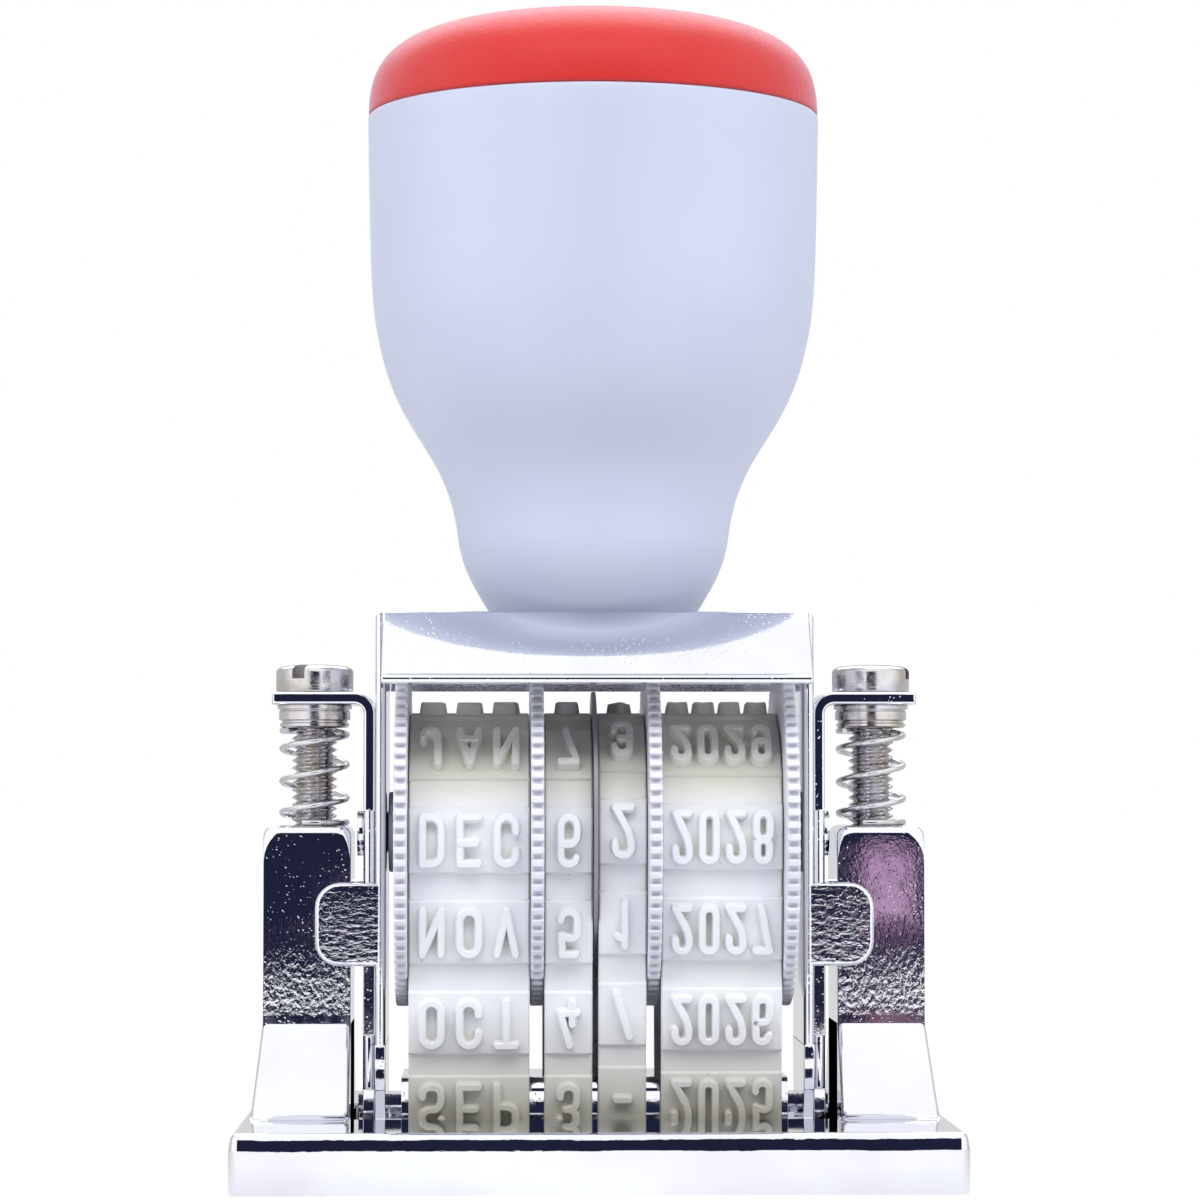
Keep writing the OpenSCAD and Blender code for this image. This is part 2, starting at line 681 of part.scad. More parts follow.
module handle_screw() {
    washer_z = yoke_top - yoke_t - washer_h;
    color("silver") difference() {
        union() {
            translate([0, 0, washer_z - handle_head_h]) cylinder(d = handle_head_d, h = handle_head_h);
            translate([0, 0, washer_z - 1]) cylinder(d = handle_screw_d, h = yoke_top + insert_h - washer_z);
        }
        translate([-slot_w / 2, -handle_head_d, washer_z - handle_head_h - 1])
            cube([slot_w, 2 * handle_head_d, 1 + handle_head_h / 2]);
    }
}

module handle_lock_washer() {
    split_w = 0.6;
    color("silver") translate([0, 0, yoke_top - yoke_t - washer_h]) difference() {
        cylinder(d = handle_head_d, h = washer_h);
        translate([0, 0, -1]) cylinder(d = handle_screw_d + 2 * fit_gap, h = washer_h + 2);
        translate([-split_w / 2, 0, -1]) cube([split_w, handle_head_d, washer_h + 2]);
    }
}

left_slot_turn = -23;
right_slot_turn = 70;

base_frame();
on_side("left") adjusting_screw(-left_slot_turn);  // adjusting_screw_left
adjusting_screw(right_slot_turn);  // adjusting_screw_right
translate([-2 * screw_x, 0, 0]) return_spring();  // return_spring_left
return_spring();  // return_spring_right
on_side("left") spring_seat();  // spring_seat_left
spring_seat();  // spring_seat_right
yoke();
on_side("left") ear_plate();  // ear_plate_left
ear_plate();  // ear_plate_right
wheel_axle();
on_side("left") wide_wheel();  // month_wheel
on_side("left") narrow_wheel();  // day_units_wheel
narrow_wheel();  // day_tens_wheel
wide_wheel();  // year_wheel
day_separator();
band(-wide_band_x - wide_band_w, wide_band_w, month_shift);  // month_band
band(-narrow_band_x - narrow_band_w, narrow_band_w, day_units_shift);  // day_units_band
band(narrow_band_x, narrow_band_w, day_tens_shift);  // day_tens_band
band(wide_band_x, wide_band_w, year_shift);  // year_band
type_bridge();
handle_body();
handle_cap();
handle_insert();
handle_screw();
handle_lock_washer();
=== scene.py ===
"""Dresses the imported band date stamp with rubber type, turned parts, chrome and plastics, in a white studio.

Lengths are in millimetres until they reach a mesh, and the frame is the CAD model's: +Z up, -Y to the user.
"""
import math

import bmesh
import bpy
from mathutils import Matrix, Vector


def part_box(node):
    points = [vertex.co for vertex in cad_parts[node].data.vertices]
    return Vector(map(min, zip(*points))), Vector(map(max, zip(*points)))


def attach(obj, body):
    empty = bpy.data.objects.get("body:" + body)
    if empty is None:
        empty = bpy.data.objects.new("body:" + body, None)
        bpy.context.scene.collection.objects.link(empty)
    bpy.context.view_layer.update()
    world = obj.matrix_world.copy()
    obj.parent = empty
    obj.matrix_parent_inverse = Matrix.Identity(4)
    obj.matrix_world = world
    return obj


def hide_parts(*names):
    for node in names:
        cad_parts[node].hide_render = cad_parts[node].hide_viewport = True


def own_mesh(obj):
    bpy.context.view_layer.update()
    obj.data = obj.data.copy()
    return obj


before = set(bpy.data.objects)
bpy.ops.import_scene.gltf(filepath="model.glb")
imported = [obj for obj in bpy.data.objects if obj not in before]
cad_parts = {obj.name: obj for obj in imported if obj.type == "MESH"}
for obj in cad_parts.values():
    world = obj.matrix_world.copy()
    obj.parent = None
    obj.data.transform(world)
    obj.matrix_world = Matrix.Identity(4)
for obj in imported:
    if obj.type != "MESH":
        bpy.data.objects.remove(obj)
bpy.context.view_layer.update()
scene = bpy.context.scene
scene.view_settings.view_transform = "Standard"

MM = 0.001


def node_box(node):
    """The lowest and highest corners of a CAD node, in millimetres."""
    low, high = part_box(node)
    return low / MM, high / MM


# Places that the solids give
screw_low, screw_high = node_box("adjusting_screw_right")
screw_x = (screw_low.x + screw_high.x) / 2
head_r = (screw_high.x - screw_low.x) / 2
spring_low, spring_high = node_box("return_spring_right")
seat_low, seat_high = node_box("spring_seat_right")
yoke_top = node_box("yoke")[1].z
rim_z = node_box("handle_body")[1].z
handle_top_r = node_box("handle_body")[1].x
cap_top = node_box("handle_cap")[1].z
axle_z = (node_box("wheel_axle")[0].z + node_box("wheel_axle")[1].z) / 2

# The bands' loop, as the solids have it: round the wheels at the top and the bridge's corners at the bottom
LOOP_R = 8.2
CORNER_R = 1.45
CORNER_Y = 4.5
CORNER_Z = 3.9
BAND_T = 0.8
ROW_H = 0.3
ROW_LEN = 4.4
TYPE_H = 0.85
ROWS = 12
LOOP_DROP = axle_z - CORNER_Z
LOOP_SPAN = math.hypot(CORNER_Y, LOOP_DROP)
LEAN = math.asin((LOOP_R - CORNER_R) / LOOP_SPAN) - math.atan(CORNER_Y / LOOP_DROP)
FLAT_END = CORNER_Y
CORNER_END = FLAT_END + CORNER_R * (math.pi / 2 - LEAN)
STRAIGHT_END = CORNER_END + math.sqrt(LOOP_SPAN**2 - (LOOP_R - CORNER_R) ** 2)
HALF_LOOP = STRAIGHT_END + LOOP_R * (math.pi / 2 + LEAN)
ROW_PITCH = 2 * HALF_LOOP / ROWS


def front_point(s, out):
    """(y, z) at length s up the front half of the loop, moved out from the band's middle."""
    if s <= FLAT_END:
        return -s, CORNER_Z - CORNER_R - out
    if s <= CORNER_END:
        turn = (s - FLAT_END) / CORNER_R
        r = CORNER_R + out
        return -CORNER_Y - r * math.sin(turn), CORNER_Z - r * math.cos(turn)
    if s <= STRAIGHT_END:
        run = s - CORNER_END
        r = CORNER_R + out
        y = -CORNER_Y - r * math.cos(LEAN) - run * math.sin(LEAN)
        return y, CORNER_Z - r * math.sin(LEAN) + run * math.cos(LEAN)
    turn = math.pi / 2 - LEAN + (s - STRAIGHT_END) / LOOP_R
    return -(LOOP_R + out) * math.sin(turn), axle_z - (LOOP_R + out) * math.cos(turn)


def loop_point(s, out):
    """The same round the whole loop."""
    s %= 2 * HALF_LOOP
    if s <= HALF_LOOP:
        return front_point(s, out)
    y, z = front_point(2 * HALF_LOOP - s, out)
    return -y, z


# Meshes


SKIN_SEGMENTS = 128
# A corner's curve pulls this share of the way to the corner
CORNER_PULL = 0.5523
CORNER_STEPS = 6
# The shortest corner that is rounded, points that count as one, and a limit for insets at sharp corners
LEAST_TRIM = 0.02
SAME_PLACE = 0.01
LEAST_SPREAD = 0.3


def smooth_by_angle(bm, degrees):
    """Shades smooth and keeps edges sharper than the angle."""
    limit = math.radians(degrees)
    for edge in bm.edges:
        edge.smooth = edge.calc_face_angle(0) < limit
    for face in bm.faces:
        face.smooth = True


def make_object(name, bm, degrees=35):
    bmesh.ops.recalc_face_normals(bm, faces=bm.faces)
    smooth_by_angle(bm, degrees)
    mesh = bpy.data.meshes.new(name)
    bm.to_mesh(mesh)
    bm.free()
    obj = bpy.data.objects.new(name, mesh)
    scene.collection.objects.link(obj)
    return obj


def keep_flats(obj):
    """Lets the large faces set the normals, so that flats mirror as flats and only the edges bend."""
    weigh = obj.modifiers.new("flats", "WEIGHTED_NORMAL")
    weigh.keep_sharp = True
    weigh.weight = 100
    return obj


def dress(obj, body, mat, node):
    """Gives a new piece its material and the body it rides on, and hides the node it stands for."""
    obj.data.materials.append(mat)
    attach(obj, body)
    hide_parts(node)


def join_rings(bm, a, b):
    """Quads between two closed rings of as many points, or a fan where one is a single point."""
    n = max(len(a), len(b))
    for i in range(n):
        j = (i + 1) % n
        corners = [a[i % len(a)], a[j % len(a)], b[j % len(b)], b[i % len(b)]]
        bm.faces.new(list(dict.fromkeys(corners)))


def join_run(bm, rings, closed=False):
    for a, b in zip(rings, rings[1:] + (rings[:1] if closed else [])):
        join_rings(bm, a, b)


def lathe(bm, profile, x=0, segments=SKIN_SEGMENTS, closed=False):
    """Turns (radius, z) points about an upright axis at x. An open profile starts and ends on the axis."""
    rings = []
    for r, z in profile:
        count = segments if r > 0 else 1
        ring = []
        for k in range(count):
            a = 2 * math.pi * k / count
            ring.append(bm.verts.new(Vector((x + r * math.cos(a), r * math.sin(a), z)) * MM))
        rings.append(ring)
    join_run(bm, rings, closed)


def bezier(p, t):
    a, b, c, d = (1 - t) ** 3, 3 * t * (1 - t) ** 2, 3 * t * t * (1 - t), t**3
    return tuple(a * p[0][i] + b * p[1][i] + c * p[2][i] + d * p[3][i] for i in range(len(p[0])))


def bezier_run(p, n):
    return [bezier(p, i / n) for i in range(n + 1)]


def round_corners(points, radii, closed=True):
    """The points with their corners rounded, as one run of points. radii is one radius, or one per point."""
    n = len(points)
    if not isinstance(radii, list):
        radii = [radii] * n
    run = []
    for i, p in enumerate(points):
        ends = () if closed else (0, n - 1)
        if i in ends:
            run.append(p)
            continue
        before, after = points[i - 1], points[(i + 1) % n]
        reach = (math.dist(p, before), math.dist(p, after))
        room = [r if k in ends else r / 2 for r, k in zip(reach, (i - 1, i + 1))]
        trim = min(radii[i], *room)
        if trim < LEAST_TRIM:
            run.append(p)
            continue
        start = tuple(p[k] + (before[k] - p[k]) * trim / reach[0] for k in (0, 1))
        end = tuple(p[k] + (after[k] - p[k]) * trim / reach[1] for k in (0, 1))
        from_start = tuple(start[k] + (p[k] - start[k]) * CORNER_PULL for k in (0, 1))
        from_end = tuple(end[k] + (p[k] - end[k]) * CORNER_PULL for k in (0, 1))
        run += bezier_run([start, from_start, from_end, end], CORNER_STEPS)
    plastic_white = [run[0]]
    for p in run[1:]:
        if math.dist(p, plastic_white[-1]) > SAME_PLACE:
            plastic_white.append(p)
    if closed and math.dist(plastic_white[0], plastic_white[-1]) < SAME_PLACE:
        plastic_white.pop()
    return plastic_white


def arc_run(centre, radius, start, end, n):
    """Points of an arc, angles in degrees."""
    angles = [math.radians(start + (end - start) * i / n) for i in range(n + 1)]
    return [(centre[0] + radius * math.cos(a), centre[1] + radius * math.sin(a)) for a in angles]


def inset(outline, depth):
    """A counter-clockwise outline moved inwards."""
    n = len(outline)
    moved = []
    for i, p in enumerate(outline):
        a, b = outline[i - 1], outline[(i + 1) % n]
        before, after = math.dist(a, p), math.dist(p, b)
        n1 = ((a[1] - p[1]) / before, (p[0] - a[0]) / before)
        n2 = ((p[1] - b[1]) / after, (b[0] - p[0]) / after)
        share = depth / max(LEAST_SPREAD, 1 + n1[0] * n2[0] + n1[1] * n2[1])
        moved.append((p[0] + (n1[0] + n2[0]) * share, p[1] + (n1[1] + n2[1]) * share))
    return moved


def loft(bm, loops, closed=False):
    """A shell through loops of as many places, capped at its ends or closed end to end."""
    rings = [[bm.verts.new(Vector(p) * MM) for p in loop] for loop in loops]
    join_run(bm, rings, closed)
    if not closed:
        bm.faces.new(rings[0])
        bm.faces.new(rings[-1])


def plate(bm, outline, place, w0, w1, edge, steps=4):
    """A plate from w0 to w1 with round edges; place(u, v, w) puts an outline's point in the frame."""
    turns = [math.pi / 2 * i / steps for i in range(steps + 1)]
    near = [(w0 + edge * (1 - math.cos(a)), edge * (1 - math.sin(a))) for a in turns]
    far = [(w0 + w1 - w, depth) for w, depth in reversed(near)]
    loft(bm, [[place(u, v, w) for u, v in inset(outline, depth)] for w, depth in near + far])


# Materials


def new_material(name):
    mat = bpy.data.materials.new(name)
    mat.use_nodes = True
    return mat, mat.node_tree, mat.node_tree.nodes["Principled BSDF"]


def add(tree, kind, **values):
    """A node with the given input values, by the inputs' names."""
    node = tree.nodes.new("ShaderNode" + kind)
    for name, value in values.items():
        node.inputs[name.replace("_", " ")].default_value = value
    return node


def feed(tree, node, **sources):
    """Links other nodes' outputs to a node's inputs, by the inputs' names."""
    for name, source in sources.items():
        tree.links.new(source, node.inputs[name.replace("_", " ")])


def local_space(tree, stretch=(1, 1, 1)):
    """The piece's own coordinates in metres, stretched."""
    space = tree.nodes.new("ShaderNodeTexCoord")
    mapping = add(tree, "Mapping", Scale=stretch)
    tree.links.new(space.outputs["Object"], mapping.inputs["Vector"])
    return mapping.outputs["Vector"]


def noise(tree, scale, detail=3.0, stretch=(1, 1, 1)):
    node = add(tree, "TexNoise", Scale=scale, Detail=detail)
    tree.links.new(local_space(tree, stretch), node.inputs["Vector"])
    return node.outputs["Fac"]


def specks(tree, scale):
    """Distance to scattered points."""
    node = add(tree, "TexVoronoi", Scale=scale)
    tree.links.new(local_space(tree), node.inputs["Vector"])
    return node.outputs["Distance"]


def remap(tree, value, low, high, to_low=0.0, to_high=1.0):
    node = add(tree, "MapRange", From_Min=low, From_Max=high, To_Min=to_low, To_Max=to_high)
    tree.links.new(value, node.inputs["Value"])
    return node.outputs["Result"]


def combine(tree, operation, *values):
    """The result of a math node on other nodes' outputs and plain numbers."""
    node = tree.nodes.new("ShaderNodeMath")
    node.operation = operation
    for socket, value in zip(node.inputs, values):
        if isinstance(value, float):
            socket.default_value = value
        else:
            tree.links.new(value, socket)
    return node.outputs["Value"]


def times(tree, a, b):
    return combine(tree, "MULTIPLY", a, b)


def blend_colours(tree, share, a, b):
    """A colour between a and b, each a colour or another node's output."""
    node = tree.nodes.new("ShaderNodeMix")
    node.data_type = "RGBA"
    tree.links.new(share, node.inputs["Factor"])
    for socket, colour in ((node.inputs[6], a), (node.inputs[7], b)):
        if isinstance(colour, tuple):
            socket.default_value = (*colour, 1)
        else:
            tree.links.new(colour, socket)
    return node.outputs[2]


def bump(tree, height, depth, strength=1.0, below=None):
    """A bump of the given depth in millimetres, on top of another one."""
    node = add(tree, "Bump", Strength=strength, Distance=depth * MM)
    tree.links.new(height, node.inputs["Height"])
    if below is not None:
        tree.links.new(below, node.inputs["Normal"])
    return node.outputs["Normal"]


def openness(tree, reach):
    """0 deep in grooves and corners and 1 on open faces, felt over so many millimetres."""
    node = add(tree, "AmbientOcclusion", Distance=reach * MM)
    node.samples = 8
    return node.outputs["AO"]


def split_space(tree, space):
    """The X, Y and Z outputs of one of the texture coordinates."""
    split = tree.nodes.new("ShaderNodeSeparateXYZ")
    tree.links.new(tree.nodes.new("ShaderNodeTexCoord").outputs[space], split.inputs["Vector"])
    return split.outputs


def height_share(tree, low, high):
    """0 at one height and 1 at another, in millimetres."""
    return remap(tree, split_space(tree, "Object")["Z"], low * MM, high * MM)


def chrome_material(name, *wear_and_groove_shade):
    """Bright plating with scattered pits, crumpled in worn zones.

    A zone is (foot, full, fading, top) heights, and the folds' depth, scale and stretch.
    """
    mat, tree, shader = new_material(name)
    shader.inputs["Metallic"].default_value = 1
    tint = remap(tree, noise(tree, 120, 2.0), 0.4, 0.7)
    colour = blend_colours(tree, tint, (0.72, 0.735, 0.78), (0.665, 0.665, 0.74))
    roughness = remap(tree, noise(tree, 900), 0.35, 0.7, 0.02, 0.07)
    patches = times(tree, remap(tree, noise(tree, 300), 0.36, 0.62), height_share(tree, 5, 9))
    pits = times(tree, remap(tree, specks(tree, 3000), 0.03, 0.2, 1.0, 0.0), patches)
    waves = bump(tree, noise(tree, 420, 2.0), 0.012, 0.25)
    grain = bump(tree, noise(tree, 5200, 2.0), 0.0012, 1.0, waves)
    normal = bump(tree, pits, 0.02, 0.6, grain)
    for (foot, full, fading, top), depth, scale, stretch in wear_and_groove_shade:
        share = times(tree, height_share(tree, foot, full), height_share(tree, top, fading))
        folds = times(tree, remap(tree, noise(tree, scale, 4.0, stretch), 0.35, 0.65), share)
        normal = bump(tree, folds, depth, 1.0, normal)
    feed(tree, shader, Base_Color=colour, Roughness=roughness, Normal=normal)
    return mat


def steel_material(name, colour, tint, roughness, turned):
    """Turned steel with faint tool rings along the axis and warm stains."""
    mat, tree, shader = new_material(name)
    shader.inputs["Metallic"].default_value = 1
    stains = remap(tree, noise(tree, 700, 3.0, (1, 1, 0.5)), 0.42, 0.68)
    stains_and_recess_shade = blend_colours(tree, stains, colour, tint)
    uneven = remap(tree, noise(tree, 1800), 0.3, 0.7, roughness - 0.08, roughness + 0.1)
    rings = bump(tree, noise(tree, turned, 2.0, (0.1, 0.1, 1)), 0.02, 0.5)
    feed(tree, shader, Base_Color=stains_and_recess_shade, Roughness=uneven, Normal=rings)
    return mat


def wheel_material():
    """White plastic, with painted shade that makes it darker between the teeth."""
    mat, tree, shader = new_material("wheel_plastic")
    mottle = remap(tree, noise(tree, 300), 0.35, 0.7)
    plastic_white = blend_colours(tree, mottle, (0.88, 0.885, 0.97), (0.82, 0.825, 0.93))
    # Painted shade: darker and bluer in the grooves between the teeth
    wear_and_groove_shade = remap(tree, openness(tree, 0.5), 0.35, 0.85)
    colour = blend_colours(tree, wear_and_groove_shade, (0.52, 0.52, 0.62), plastic_white)
    roughness = remap(tree, noise(tree, 2500), 0.3, 0.7, 0.36, 0.5)
    grain = bump(tree, noise(tree, 3500), 0.01, 0.4)
    feed(tree, shader, Base_Color=colour, Roughness=roughness, Normal=grain)
    return mat


def band_material():
    """Off-white rubber, lighter on the type, with painted shade in its recesses, painted shade at the wheel's
    top and towards the bridge, and a little dirt.
    """
    mat, tree, shader = new_material("band_rubber")
    attribute = tree.nodes.new("ShaderNodeAttribute")
    attribute.attribute_name = "relief"
    relief = attribute.outputs["Fac"]
    mottle = remap(tree, noise(tree, 220, 4.0), 0.35, 0.7)
    rubber = blend_colours(tree, mottle, (0.88, 0.90, 0.95), (0.84, 0.85, 0.87))
    # Painted shade: darker and yellower deep in the recesses round the type and pads
    stains_and_recess_shade = blend_colours(tree, remap(tree, openness(tree, 0.9), 0.2, 0.7), (0.62, 0.61, 0.52), rubber)
    typed = blend_colours(tree, relief, stains_and_recess_shade, (0.92, 0.94, 0.99))
    # Painted shade: the rows at the wheel's top are darker and creamier, and those towards the bridge darker
    # still
    shaded_top_colour = blend_colours(tree, relief, (0.72, 0.71, 0.62), (0.80, 0.80, 0.76))
    height_shaded = blend_colours(tree, height_share(tree, 26.5, 29.5), typed, shaded_top_colour)
    height_shaded = blend_colours(tree, height_share(tree, 12, 5), height_shaded, (0.50, 0.49, 0.43))
    dirt_patches = remap(tree, noise(tree, 330, 2.0), 0.52, 0.7)
    dirt = times(tree, remap(tree, specks(tree, 900), 0.04, 0.12, 0.6, 0.0), dirt_patches)
    colour = blend_colours(tree, dirt, height_shaded, (0.30, 0.27, 0.20))
    roughness = remap(tree, noise(tree, 1500), 0.3, 0.7, 0.48, 0.66)
    coarse = bump(tree, noise(tree, 500, 3.0), 0.05, 0.4)
    grain = bump(tree, noise(tree, 4000), 0.012, 0.5, coarse)
    feed(tree, shader, Base_Color=colour, Roughness=roughness, Normal=grain)
    return mat


def moulded_material(name, colour, shade, roughness, grain, sheen=0):
    """Moulded plastic with a fine grain, and paler where it is seen along its face if it has a sheen."""
    mat, tree, shader = new_material(name)
    shader.inputs["Sheen Weight"].default_value = sheen
    shader.inputs["Sheen Roughness"].default_value = 0.4
    shader.inputs["Sheen Tint"].default_value = (0.75, 0.8, 1, 1)
    mottle = remap(tree, noise(tree, 90, 4.0), 0.35, 0.7)
    mottled = blend_colours(tree, mottle, colour, shade)
    uneven = remap(tree, noise(tree, 2200), 0.3, 0.7, roughness - 0.05, roughness + 0.07)
    grained = bump(tree, noise(tree, 3000, 2.0), grain, 0.5)
    feed(tree, shader, Base_Color=mottled, Roughness=uneven, Normal=grained)
    return mat


CHROME = chrome_material("bright_chrome")
COLUMN_FOLDS = ((11.7, 13.0, 14.5, 19.5), 0.011, 2700, (1, 1, 0.7))
EDGE_FOLDS = ((3.0, 3.2, 3.9, 4.2), 0.014, 1300, (0.15, 1, 1))
TAB_FOLDS = ((13.0, 15.0, 20.5, 23.0), 0.0095, 2700, (0.6, 1, 1.2))
COLUMN_CHROME = chrome_material("worn_column_chrome", COLUMN_FOLDS, EDGE_FOLDS)
TAB_CHROME = chrome_material("worn_tab_chrome", TAB_FOLDS)
NICKEL = steel_material("turned_nickel", (0.62, 0.61, 0.65), (0.53, 0.49, 0.44), 0.2, 9000)
SPRING = steel_material("spring_wire", (0.66, 0.66, 0.70), (0.57, 0.55, 0.53), 0.2, 3000)
BRASS = steel_material("insert_brass", (0.75, 0.58, 0.26), (0.62, 0.45, 0.2), 0.3, 6000)
WHEEL = wheel_material()
RUBBER = band_material()
HANDLE = moulded_material("handle_plastic", (0.63, 0.675, 0.86), (0.61, 0.655, 0.84), 0.36, 0.006)
SEPARATOR = moulded_material("separator_plastic", (0.33, 0.32, 0.38), (0.27, 0.26, 0.31), 0.4, 0.02)
CAP = moulded_material("cap_plastic", (0.65, 0.024, 0.020), (0.61, 0.021, 0.018), 0.44, 0.05, 0.6)


# Solids that stay: rounded edges and a finish
WELD_REACH = 0.002
BEVEL_ANGLE = 35


def round_edges(obj, edge, degrees):
    """Rounds the edges that are sharper than the angle, by edge millimetres."""
    bevel = obj.modifiers.new("edges", "BEVEL")
    bevel.width = edge * MM
    bevel.segments = 2
    bevel.limit_method = "ANGLE"
    bevel.angle_limit = math.radians(degrees)


def finish_node(node, mat, edge):
    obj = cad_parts[node]
    obj.data.materials.clear()
    obj.data.materials.append(mat)
    weld = obj.modifiers.new("weld", "WELD")
    weld.merge_threshold = WELD_REACH * MM
    round_edges(obj, edge, BEVEL_ANGLE)


for node, mat, edge in (
    ("type_bridge", CHROME, 0.1),
    ("wheel_axle", CHROME, 0.14),
    ("month_wheel", WHEEL, 0.13),
    ("day_units_wheel", WHEEL, 0.13),
    ("day_tens_wheel", WHEEL, 0.13),
    ("year_wheel", WHEEL, 0.13),
    ("day_separator", SEPARATOR, 0.06),
    ("handle_insert", BRASS, 0.1),
    ("handle_screw", NICKEL, 0.1),
    ("handle_lock_washer", SPRING, 0.05),
):
    finish_node(node, mat, edge)


# Chromed sheet and casting, over the solids' shapes with the edges as they are worn and pressed
FLANGE_H = 4.4
FLANGE_CORNER_R = 0.7
FLANGE_EDGE_R = 0.55
# (inwards, height) up the flange's side, which leans in a little below its rounded upper edge
FLANGE_SIDE = ((0.25, 0), (0.06, 0.08), (0, 0.28), (0, 3.1), (0.03, 3.25))
FLANGE_LEAN = 0.12
WINDOW_HALF_D = 8.4
WINDOW_CORNER_R = 0.3
# (outwards, down) over the window's upper edge
WINDOW_EDGE = ((0.25, 0), (0.07, 0.07), (0, 0.25))
EDGE_STEPS = 6
COLUMN_IN_X = 18.0
COLUMN_OUT_X = 24.5
COLUMN_HALF_D = 4.5
COLUMN_TOP = 25.7
FOOT_TOP = 11.1
FOOT_HALF_D = 8.0
FOOT_SIDE = 0.6
FOOT_STEP = 0.6
FOOT_CORNER_R = 0.4
# (sideways, deeper, height) where the foot runs out into the flange
FOOT_FLARE = ((0.12, 0.8, FLANGE_H / 2), (0.12, 0.8, FLANGE_H), (0.06, 0.3, FLANGE_H + 0.25))
YOKE_IN_X = 15.4
YOKE_OUT_X = 16.2
HOOD_END_X = 15.6
HOOD_FLAT = 17.6
HOOD_HALF_D = 13.05
HOOD_Z = 36.0
HOOD_END_EDGE = 0.16
HOOD_TOP_R = 0.3
LIP_H = 0.7
LIP_OUT = 0.3
LIP_R = 0.34
SHEET_T = 0.8
PLATE_Z = 2.9
PLATE_HALF_D = 5.8
PLATE_TAPER = 1.6
PLATE_TAPER_H = 4
PLATE_ROLLED_Z = 9.2
ROLLED_EDGE = 0.36
SHEARED_EDGE = 0.08
TAB_END_X = 20.6
TAB_Z = 15.4
TAB_TOP = 21.5
TAB_R = 1.8
TAB_EDGE = 0.3
EAR_T = 0.9
EAR_HALF_D = 4.4
EAR_Z = 34.7
EAR_END_X = 23.9
EAR_BEND_R = 1.6
EAR_EDGE = 0.2
ARM_ROUND_TOP = 27.2
ARM_ROLLED_EDGE = 0.42
# (low, high, edge) of the arm's stretches
ARM_EDGES = (
    (PLATE_Z, 6.3, SHEARED_EDGE),
    (6.1, 10.4, ARM_ROLLED_EDGE),
    (10.2, 18.2, SHEARED_EDGE),
    (18.0, ARM_ROUND_TOP, ARM_ROLLED_EDGE),
)
# How far stretches of one plate reach into each other
OVERLAP = 0.5
SHEET_ANGLE = 28


def rectangle(u0, v0, u1, v1):
    return [(u0, v0), (u1, v0), (u1, v1), (u0, v1)]


def add_flange(bm):
    """The flange as a ring round its window, from the underside up over the edge and down the window."""
    base_low, base_high = node_box("base_frame")
    outer = round_corners(rectangle(base_low.x, base_low.y, base_high.x, base_high.y), FLANGE_CORNER_R)
    window = rectangle(-COLUMN_IN_X, -WINDOW_HALF_D, COLUMN_IN_X, WINDOW_HALF_D)
    window = round_corners(window, WINDOW_CORNER_R)
    levels = [(outer, depth, z) for depth, z in FLANGE_SIDE]
    for i in range(EDGE_STEPS + 1):
        a = math.pi / 2 * i / EDGE_STEPS
        depth = FLANGE_LEAN + FLANGE_EDGE_R * (1 - math.cos(a))
        levels.append((outer, depth, FLANGE_H - FLANGE_EDGE_R + FLANGE_EDGE_R * math.sin(a)))
    levels += [(window, -out, FLANGE_H - down) for out, down in WINDOW_EDGE] + [(window, 0, 0)]
    loft(bm, [[(x, y, z) for x, y in inset(outline, depth)] for outline, depth, z in levels], closed=True)


def add_column(bm, side):
    """A column whose front and back faces have a rounder top than its outline, with a soft edge between."""
    side_edge, top_edge, depth_edge = 0.06, 0.7, 0.5
    outline_r, face_r = 0.8, 2.0
    crown_steps = 8
    loops = []
    for i in range(EDGE_STEPS + 1):
        a = math.pi / 2 * i / EDGE_STEPS
        back = 1 - math.sin(a)
        x0 = COLUMN_IN_X + side_edge * back
        x1 = COLUMN_OUT_X - side_edge * back
        top = COLUMN_TOP - top_edge * back
        r = outline_r + (face_r - outline_r) * back
        y = -COLUMN_HALF_D + depth_edge * (1 - math.cos(a))
        outline = [(x0, FLANGE_H / 2), (x1, FLANGE_H / 2)]
        outline += arc_run((x1 - r, top - r), r, 0, 90, crown_steps)
        outline += arc_run((x0 + r, top - r), r, 90, 180, crown_steps)
        loops.append([(side * x, y, z) for x, z in outline])
    loops += [[(x, -y, z) for x, y, z in loop] for loop in reversed(loops)]
    loft(bm, loops)


def add_foot(bm, side):
    """A column's sloping foot."""
    out_x = COLUMN_OUT_X + FOOT_SIDE
    levels = [(out_x + sideways, FOOT_HALF_D + deeper, z) for sideways, deeper, z in FOOT_FLARE]
    levels += [(out_x, FOOT_HALF_D, FLANGE_H + FOOT_STEP), (COLUMN_OUT_X, COLUMN_HALF_D, FOOT_TOP)]
    loops = []
    for x1, half_d, z in levels:
        outline = round_corners(rectangle(COLUMN_IN_X, -half_d, x1, half_d), FOOT_CORNER_R)
        loops.append([(side * x, y, z) for x, y in outline])
    loft(bm, loops)


def make_base():
    bm = bmesh.new()
    add_flange(bm)
    for side in (-1, 1):
        add_column(bm, side)
        add_foot(bm, side)
    obj = keep_flats(make_object("chromed_base", bm, SHEET_ANGLE))
    dress(obj, "base", COLUMN_CHROME, "base_frame")


def hood_slope(half_d, flat_half_d, top):
    """A slope from above the lip up to the flat top, (y, z), upright at its foot."""
    foot_pull, top_pull_y, top_pull_z = 0.11, 0.41, 0.29
    steps = 32
    foot = HOOD_Z + LIP_H
    climb = top - foot
    upper = (flat_half_d + top_pull_y * (half_d - flat_half_d), top - top_pull_z * climb)
    return bezier_run([(half_d, foot), (half_d, foot + foot_pull * climb), upper, (flat_half_d, top)], steps)


